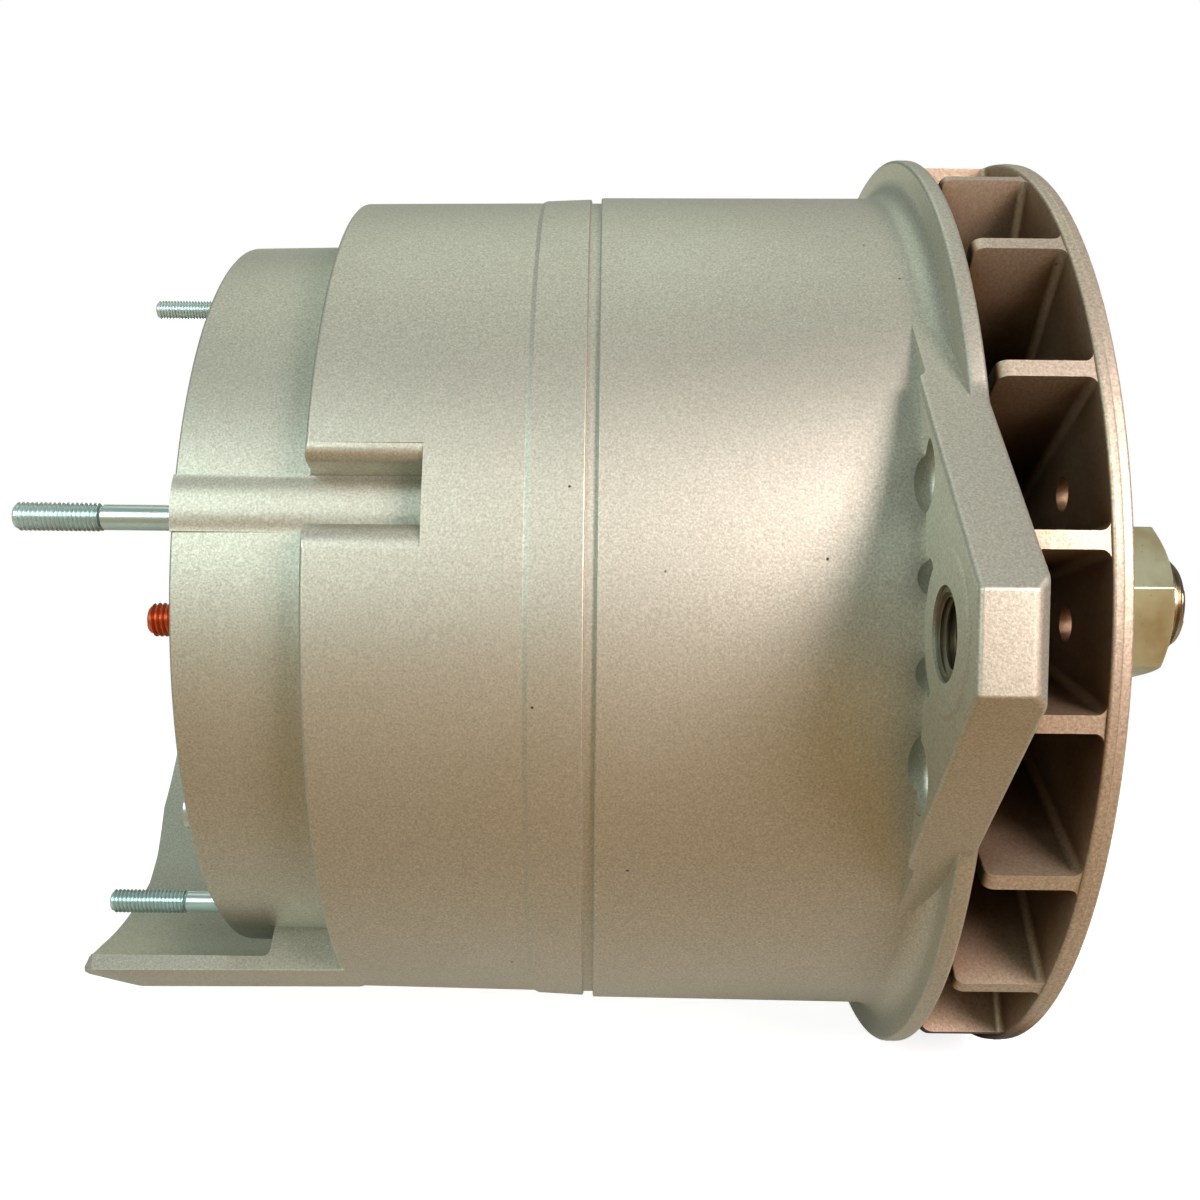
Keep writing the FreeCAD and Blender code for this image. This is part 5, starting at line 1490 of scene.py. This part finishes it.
@dataclass
class LugInsert:
    """Steel thread insert in the lug."""

    outer_r: float = 8.4
    thread_r: float = 7.0
    pitch: float = 1.5
    chamfer: float = 0.25
    cone: Pair = (0.2, 0.4)

    def model(self) -> Piece:
        """The insert with its inside thread."""
        back, front = LUG_FACE_BACK, FLANGE_FRONT
        ring = lathe("thread_insert", [
            (back, 0), (back, self.outer_r, 0.3), (front, self.outer_r, 0.3), (front, 0)],
            -LUG_HOLE_AT, 0, 64)
        tap = threaded_rod("tap", self.thread_r, self.pitch, back - 6, front + 6, 1.0, -LUG_HOLE_AT, 0)
        combine(ring, Join.CUT, tap)
        above, below = self.cone
        depth = self.chamfer + below
        sinks = [lathe("countersink", [
            (face - way * above, 0), (face - way * above, self.thread_r + self.chamfer + above),
            (face + way * depth, self.thread_r - below), (face + way * depth, 0)], -LUG_HOLE_AT, 0, 64)
            for face, way in ((back, 1), (front, -1))]
        return combine(ring, Join.CUT, *sinks)


# CAD pieces that keep their shape, with the width of their rounded edges
REFINED = {
    "rear_cover": 0.35, "cover_screws": 0.2, "housing_screws": 0.2, "front_foot_bush": 0.35,
    "rear_foot_bush": 0.35, "stator_core": 0.0, "stator_winding": 0.0, "front_bearing_outer_ring": 0.0,
    "rear_bearing_outer_ring": 0.25, "bearing_retainer": 0.25, "retainer_screws": 0.2,
    "shaft_seal": 0.25, "brush_holder": 0.3, "brush_holder_screws": 0.15, "front_brush_spring": 0.0,
    "rear_brush_spring": 0.0, "regulator": 0.0, "regulator_screws": 0.15, "positive_heat_sink": 0.3,
    "negative_heat_sink": 0.3, "positive_diodes": 0.2, "negative_diodes": 0.2,
    "heat_sink_spacers": 0.15, "heat_sink_screws": 0.2, "fan_key": 0.25, "spacer_ring": 0.25,
    "front_bearing_inner_ring": 0.0, "rear_bearing_inner_ring": 0.25, "pole_core": 0.3,
    "drive_end_claw_pole": 0.0, "slip_ring_end_claw_pole": 0.0, "coil_bobbin": 0.2, "field_coil": 0.6,
    "slip_ring_insulator": 0.2, "slip_rings": 0.15, "front_bearing_balls": 0.0,
    "front_bearing_cage": 0.0, "rear_bearing_rollers": 0.2, "rear_bearing_cage": 0.0,
    "front_brush": 0.15, "rear_brush": 0.15,
}

# The brush springs, each with the slide that presses it
BRUSH_SPRINGS = {"front_brush_spring": "front_brush_slide", "rear_brush_spring": "rear_brush_slide"}


def press(spring: Piece) -> None:
    """Give a brush spring a mesh of its own.

    Args:
        spring: The finished spring.
    """
    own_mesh(spring)


WHITE: Colour = (1.0, 1.0, 1.0, 1.0)


@dataclass(frozen=True)
class Lamp:
    """Square soft lamp, with its place and size in metres and its power in watts."""

    name: str
    place: tuple[float, float, float]
    size: float
    power: float
    colour: Display

    def hang(self, target: Vector) -> None:
        """Put the lamp up, out of the camera's sight, and point it at a target."""
        data = bpy.data.lights.new(self.name, "AREA")
        data.size = self.size
        data.energy = self.power
        data.color = self.colour
        lamp = bpy.data.objects.new(self.name, data)
        lamp.location = self.place
        lamp.visible_camera = False
        lamp.rotation_euler = (target - lamp.location).to_track_quat("-Z", "Y").to_euler()
        bpy.context.scene.collection.objects.link(lamp)


LAMPS = (
    Lamp("key", (0.46, -0.80, 0.34), 0.4, 10.8, (1.0, 0.83, 0.785)),
    Lamp("fill", (-0.72, -0.85, 0.42), 0.6, 6.2, (0.84, 1.0, 0.93)),
    Lamp("top", (-0.2, 0.2, 1.1), 0.8, 1.9, (0.90, 1.0, 0.83)),
    Lamp("low", (-0.1, 0.70, 0.02), 0.35, 2.8, (1.0, 0.98, 0.92)),
    Lamp("back", (-0.45, 0.75, 0.30), 0.35, 0.35, (1.0, 1.0, 0.7)),
)


@dataclass
class Studio:
    """Camera, lamps, floor and background."""

    sky: Colour = (0.86, 1.0, 0.90, 1.0)
    sky_strength: float = 0.09
    sky_in_gloss: float = 0.10
    floor_size: float = 30.0
    floor_far_side: Colour = (0.38, 0.235, 0.09, 1.0)
    floor_near_side: Colour = (0.72, 0.70, 0.65, 1.0)
    floor_sides: Pair = (-0.12, -0.04)
    floor_shown: Colour = (0.60, 0.60, 0.60, 1.0)
    floor_glow: float = 0.85
    floor_fade: Pair = (0.25, 0.6)
    focal: float = 1350.0
    image: float = 1200.0
    sensor: float = 36.0
    distance: float = 350.0
    middle: float = -97.1
    drop: float = 0.64
    elevation: float = 2.75
    roll: float = 0.645

    def camera(self) -> None:
        """Camera at the photograph's viewing angle."""
        data = bpy.data.cameras.new("camera")
        data.sensor_width = self.sensor
        data.lens = self.focal / self.image * self.sensor
        data.clip_start = 0.01
        data.clip_end = 50.0
        rise = math.radians(self.elevation)
        target = Vector((self.middle, 0, -self.drop)) * MM
        place = target + Vector((0, -math.cos(rise), math.sin(rise))) * self.distance * MM
        turn = (target - place).to_track_quat("-Z", "Y").to_matrix().to_4x4()
        camera = bpy.data.objects.new("camera", data)
        roll = Matrix.Rotation(math.radians(self.roll), 4, "Z")
        camera.matrix_world = Matrix.Translation(place) @ turn @ roll
        bpy.context.scene.collection.objects.link(camera)
        bpy.context.scene.camera = camera

    @staticmethod
    def seen(bench: Bench) -> tuple[Node, Socket]:
        """The light path node, and 1 for what the camera sees directly or through glass."""
        path = bench.add("LightPath")
        return path, bench.math("MAXIMUM", path.outputs["Is Camera Ray"],
                                path.outputs["Is Transmission Ray"])

    def world(self) -> None:
        """Plain soft light from all round, and a white background."""
        world = bpy.data.worlds.new("studio")
        bpy.context.scene.world = world
        bench = fresh_bench(world)
        path, seen = self.seen(bench)
        soft = bench.add("Background", None, Color=self.sky, Strength=self.sky_strength)
        white = bench.add("Background", None, Color=WHITE, Strength=1.0)
        glossy = bench.math("MULTIPLY", path.outputs["Is Glossy Ray"], self.sky_in_gloss)
        share = bench.math("MAXIMUM", seen, glossy)
        mix = bench.join("MixShader", None, share, soft.outputs[0], white.outputs[0])
        bench.add("OutputWorld", None, Surface=mix.outputs[0])

    def floor(self) -> None:
        """Pale floor under the object, white to the camera except in the shadow."""
        low = CAD_BOX[0].z
        bpy.ops.object.select_all(action="DESELECT")
        bpy.ops.mesh.primitive_plane_add(size=self.floor_size, location=(0, 0, low))
        floor = bpy.context.object
        floor.name = "floor"
        material = bpy.data.materials.new("floor")
        bench = fresh_bench(material)
        _, seen = self.seen(bench)
        place = bench.add("TexCoord").outputs["Object"]
        across = bench.add("SeparateXYZ", None, Vector=place).outputs["Y"]
        tint = bench.blend(bench.spread(across, *self.floor_sides), self.floor_far_side,
                           self.floor_near_side)
        pale = bench.add("BsdfDiffuse", None, Color=tint)
        shown = bench.add("BsdfDiffuse", None, Color=self.floor_shown)
        glow = bench.add("Emission", None, Color=WHITE, Strength=self.floor_glow)
        both = bench.join("AddShader", None, shown.outputs[0], glow.outputs[0])
        white = bench.add("Emission", None, Color=WHITE, Strength=1.0)
        reach = bench.join("VectorMath", {"operation": "LENGTH"}, place)
        far = bench.spread(reach.outputs["Value"], *self.floor_fade)
        near = bench.join("MixShader", None, far, both.outputs[0], white.outputs[0])
        mix = bench.join("MixShader", None, seen, pale.outputs[0], near.outputs[0])
        bench.add("OutputMaterial", None, Surface=mix.outputs[0])
        floor.data.materials.append(material)

    def build(self) -> None:
        """Set up the whole studio."""
        self.camera()
        self.world()
        self.floor()
        for lamp in LAMPS:
            lamp.hang(Vector((self.middle * MM, 0, 0)))
        bpy.context.scene.view_settings.view_transform = "Standard"


def main() -> None:
    """Build the studio and every piece."""
    logging.basicConfig(level=logging.INFO, format="%(message)s")
    Studio().build()
    paintbox = Paintbox()
    shaft_end, terminals = ShaftEnd(), Terminals()
    modelled = (
        (DriveEndHousing().model, "drive_end_housing"),
        (SlipRingEndHousing().model, "slip_ring_end_housing"),
        (FanWheel().model, "fan"),
        (shaft_end.shaft, "shaft"),
        (shaft_end.nut, "shaft_nut"),
        (shaft_end.washer, "spring_washer"),
        (LugInsert().model, "lug_thread_insert"),
        (terminals.middle.model, "terminal_stud"),
        (terminals.output_with_head, "output_stud"),
        (terminals.lower.model, "lower_stud"),
        (terminals.upper.model, "upper_stud"),
        (terminals.bushes, "terminal_bushes"),
    )
    for model, node in modelled:
        paintbox.place(model(), node)
    for node, softness in REFINED.items():
        piece = paintbox.place(refined(node, softness), node)
        if node in BRUSH_SPRINGS:
            press(piece)


if __name__ == "__main__":
    main()
